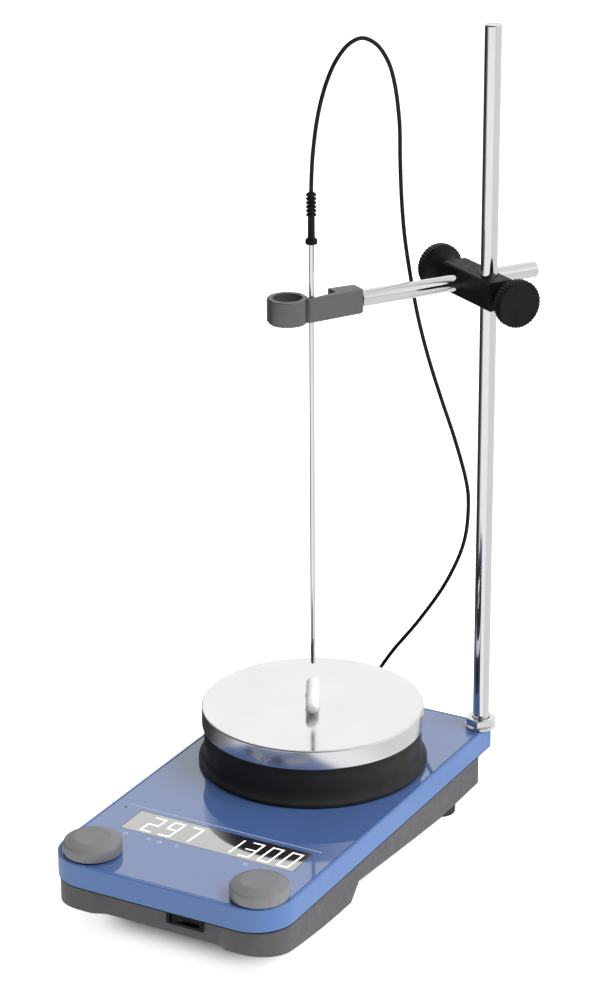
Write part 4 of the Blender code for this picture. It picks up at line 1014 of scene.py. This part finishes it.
def cover_outline(inset, steps=20):
    """The cover's outline, moved inwards: wide front corners, small rear ones."""
    front, rear = FRONT_CORNER - inset, REAR_CORNER - inset
    left, right = COVER_LOW.x + inset, COVER_HIGH.x - inset
    near, far = COVER_LOW.y + inset, COVER_HIGH.y - inset
    points = arc((right - front, near + front), front, -90, 0, steps)
    points += arc((right - rear, far - rear), rear, 0, 90, steps)
    points += arc((left + rear, far - rear), rear, 90, 180, steps)
    points += arc((left + front, near + front), front, 180, 270, steps)
    return points


def make_painted_gap_shadow():
    """A thin black strip under the cover's lower edge: painted shadow standing for the shade in the gap
    between cover and base.
    """
    builder = bmesh.new()
    edge = PANEL_TOP - COVER_DEPTH
    bottom = edge - GAP_SHADOW_HEIGHT
    outer, inner = GAP_SHADOW_INSETS
    loops = []
    for inset, z in ((outer, bottom), (outer, edge), (inner, edge), (inner, bottom)):
        loops.append([builder.verts.new((x, y, z)) for x, y in cover_outline(inset)])
    bridge(builder, loops, closed=True)
    add_piece("cover_edge_painted_shadow", builder, "black_plastic", "root", slot="black_plastic")


# ---------------------------------------------------------------- pieces that keep their CAD shape


def dress_shells():
    ease_edges("top_cover", 0.00045, "cover_blue", 4)
    ease_edges("top_panel", 0.00012, "panel_blue", 2)
    ease_edges("display_window", 0.00008, "display_glass", 2)
    ease_edges("display_module", 0.0003, "display_face")
    ease_edges("base_shell", 0.00060, "base_grey", 3)
    ease_edges("boss_head", 0.00040, "black_plastic", 3)
    ease_edges("probe_holder", 0.00045, "holder_grey", 3)
    ease_edges("mains_inlet", 0.00030, "black_plastic", 3)


def dress_insides():
    finishes = {
        "plain_steel": ["motor_housing", "motor_end_cap", "motor_screw_1", "motor_screw_2", "motor_screw_3",
                        "magnet_carrier", "heater_element", "plate_standoff_1", "plate_standoff_2",
                        "plate_standoff_3", "left_encoder", "right_encoder", "left_shaft", "right_shaft",
                        "cover_screw_front_left", "cover_screw_front_right", "cover_screw_rear_left",
                        "cover_screw_rear_right"],
        "bright_steel": ["motor_shaft", "lower_bearing", "upper_bearing"],
        "board_green": ["main_board", "power_board"],
        "copper_winding": ["stator"],
        "magnet_nickel": ["rotor", "drive_magnet_1", "drive_magnet_2"],
        "insulation": ["insulation_disc"],
        "white_fluoropolymer": ["left_plunger", "right_plunger"],
    }
    for look, names in finishes.items():
        for name in names:
            ease_edges(name, 0.00015, look, 2)


# ---------------------------------------------------------------- studio

FRONT_DIMMING = 0.03
FLOOR_HALF = 30.0
FLOOR_DEPTH = 0.0002
# The floor glows from a line this far inside the base's box, because the floor that shows under the raised
# front edge lies inside it. The glow grows between two distances from that line, up to its full strength.
GLOW_INSET = 0.045
GLOW_SPAN = (0.008, 0.036)
FLOOR_GLOW = 0.76
MIRRORED_RADIUS = 25.0
MIRRORED_HEIGHT = 0.00005
# Greys of the sky, as (height, grey) from the horizon to straight up.
SKY_GREYS = ((0.0, 0.75), (0.08, 0.62), (0.24, 1.0), (0.50, 1.0), (0.80, 0.80))
# The level direction towards the sky's bright side, and the span along it over which the dimming ends.
BRIGHT_SIDE = (0.40, 0.92, 0)
DIMMING_SPAN = (-0.7, 0.35)
# Bearing in degrees from +X, and the grey that glossy surfaces see there.
FLOOR_GREYS = (
    (-180, 0.03),
    (-158, 0.04),
    (-140, 0.30),
    (-128, 0.97),
    (-50, 1.00),
    (-28, 0.76),
    (80, 0.80),
    (110, 1.00),
    (140, 0.25),
    (158, 0.03),
)


def make_floor():
    builder = bmesh.new()
    outline = bar_outline((-FLOOR_HALF, -FLOOR_HALF), (FLOOR_HALF, FLOOR_HALF))
    builder.faces.new([builder.verts.new((x, y, 0)) for x, y in outline])
    mesh = bpy.data.meshes.new("floor")
    builder.to_mesh(mesh)
    builder.free()
    finish = Finish("floor_white", (0.90, 0.90, 0.90), 0.8, Emission_Color=(1, 1, 1, 1))
    finish.mottle(8, 0.004)
    brighten_away(finish)
    mesh.materials.append(finish.material)
    floor = bpy.data.objects.new("floor", mesh)
    floor.location.z = -FLOOR_DEPTH
    bpy.context.scene.collection.objects.link(floor)


def brighten_away(finish):
    """The floor glows with the distance from the base, which keeps the shadow round it narrow."""
    tree = finish.material.node_tree
    low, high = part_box("base_shell")
    source = tree.nodes.new("ShaderNodeTexCoord").outputs["Object"]
    steps = (
        ("SUBTRACT", ((low.x + high.x) / 2, (low.y + high.y) / 2, 0)),
        ("ABSOLUTE", None),
        ("SUBTRACT", ((high.x - low.x) / 2 - GLOW_INSET, (high.y - low.y) / 2 - GLOW_INSET, 0)),
        ("MAXIMUM", (0, 0, 0)),
        ("LENGTH", None),
    )
    for operation, constant in steps:
        node = tree.nodes.new("ShaderNodeVectorMath")
        node.operation = operation
        tree.links.new(source, node.inputs[0])
        if constant:
            node.inputs[1].default_value = constant
        source = node.outputs["Value" if operation == "LENGTH" else "Vector"]
    spread = tree.nodes.new("ShaderNodeMapRange")
    spread.interpolation_type = "SMOOTHSTEP"
    spread.inputs["From Min"].default_value = GLOW_SPAN[0]
    spread.inputs["From Max"].default_value = GLOW_SPAN[1]
    spread.inputs["To Max"].default_value = FLOOR_GLOW
    tree.links.new(source, spread.inputs["Value"])
    shader = tree.nodes["Principled BSDF"]
    tree.links.new(spread.outputs["Result"], shader.inputs["Emission Strength"])


def add_ramp(tree, source, stops):
    """Greys along a 0 to 1 value."""
    ramp = tree.nodes.new("ShaderNodeValToRGB")
    elements = ramp.color_ramp.elements
    while len(elements) < len(stops):
        elements.new(0.5)
    for element, (position, value) in zip(elements, stops):
        element.position = position
        element.color = (value, value, value, 1)
    tree.links.new(source, ramp.inputs["Fac"])
    return ramp.outputs["Color"]


def make_world():
    """A studio bright behind the object and nearly dark on the camera's side, plain white to look at."""
    world = bpy.data.worlds.new("studio")
    bpy.context.scene.world = world
    world.use_nodes = True
    tree = world.node_tree
    background = tree.nodes["Background"]
    place = tree.nodes.new("ShaderNodeTexCoord")
    split = tree.nodes.new("ShaderNodeSeparateXYZ")
    tree.links.new(place.outputs["Generated"], split.inputs["Vector"])
    height = add_ramp(tree, split.outputs["Z"], SKY_GREYS)
    side = tree.nodes.new("ShaderNodeVectorMath")
    side.operation = "DOT_PRODUCT"
    side.inputs[1].default_value = BRIGHT_SIDE
    tree.links.new(place.outputs["Generated"], side.inputs[0])
    spread = tree.nodes.new("ShaderNodeMapRange")
    spread.inputs["From Min"].default_value = DIMMING_SPAN[0]
    spread.inputs["From Max"].default_value = DIMMING_SPAN[1]
    spread.inputs["To Min"].default_value = FRONT_DIMMING
    spread.inputs["To Max"].default_value = 1.0
    tree.links.new(side.outputs["Value"], spread.inputs["Value"])
    dim = tree.nodes.new("ShaderNodeVectorMath")
    dim.operation = "SCALE"
    tree.links.new(height, dim.inputs[0])
    tree.links.new(spread.outputs["Result"], dim.inputs["Scale"])
    path = tree.nodes.new("ShaderNodeLightPath")
    mix = tree.nodes.new("ShaderNodeMix")
    mix.data_type = "RGBA"
    tree.links.new(path.outputs["Is Camera Ray"], mix.inputs["Factor"])
    tree.links.new(dim.outputs["Vector"], mix.inputs["A"])
    mix.inputs["B"].default_value = (1, 1, 1, 1)
    tree.links.new(mix.outputs["Result"], background.inputs["Color"])


def make_light(name, place, target, size, power):
    data = bpy.data.lights.new(name, "AREA")
    data.shape = "RECTANGLE"
    data.size, data.size_y = size
    data.energy = power
    light = bpy.data.objects.new(name, data)
    light.location = place
    light.rotation_mode = "QUATERNION"
    light.rotation_quaternion = (Vector(target) - Vector(place)).to_track_quat("-Z", "Y")
    light.visible_glossy = False
    bpy.context.scene.collection.objects.link(light)


def make_mirrored_floor():
    """What bright metal shows of the floor: greys that change with the bearing, for glossy rays only."""
    builder = bmesh.new()
    outline = arc((0, 0), MIRRORED_RADIUS, 0, 354, 59)
    builder.faces.new([builder.verts.new((x, y, 0)) for x, y in outline])
    mesh = bpy.data.meshes.new("mirrored_floor")
    builder.to_mesh(mesh)
    builder.free()
    made = bpy.data.materials.new("mirrored_floor")
    made.use_nodes = True
    tree = made.node_tree
    tree.nodes.remove(tree.nodes["Principled BSDF"])
    place = tree.nodes.new("ShaderNodeTexCoord")
    bearing = tree.nodes.new("ShaderNodeTexGradient")
    bearing.gradient_type = "RADIAL"
    tree.links.new(place.outputs["Object"], bearing.inputs["Vector"])
    greys = [(0.5 + degrees / 360, value) for degrees, value in FLOOR_GREYS]
    shine = tree.nodes.new("ShaderNodeEmission")
    tree.links.new(add_ramp(tree, bearing.outputs["Fac"], greys), shine.inputs["Color"])
    tree.links.new(shine.outputs["Emission"], tree.nodes["Material Output"].inputs["Surface"])
    mesh.materials.append(made)
    mirrored = bpy.data.objects.new("mirrored_floor", mesh)
    mirrored.location = (ROD.x, ROD.y, MIRRORED_HEIGHT)
    mirrored.visible_camera = False
    mirrored.visible_diffuse = False
    mirrored.visible_shadow = False
    mirrored.visible_transmission = False
    bpy.context.scene.collection.objects.link(mirrored)


def make_studio():
    make_floor()
    make_world()
    make_light("key", (1.5, 0.1, 2.0), target=(0, 0, 0.05), size=(1.6, 1.6), power=48)
    make_light("front", (-0.9, -1.8, 2.2), target=(0, 0, 0.1), size=(1.8, 1.8), power=10)
    make_mirrored_floor()
    bpy.context.scene.view_settings.view_transform = "Standard"
    bpy.context.scene.view_settings.look = "None"


# ---------------------------------------------------------------- assembly


def main():
    make_camera()
    make_plastics()
    make_metals()
    make_glow()
    make_plug()
    make_cable()
    dress_shells()
    dress_insides()
    make_knob("left")
    make_knob("right")
    make_switch()
    make_digits()
    make_print()
    make_plate()
    make_ring()
    make_stir_bar()
    make_rod()
    make_nut()
    make_arm()
    make_thumbscrews()
    make_probe()
    make_feet()
    make_painted_gap_shadow()
    make_studio()


main()
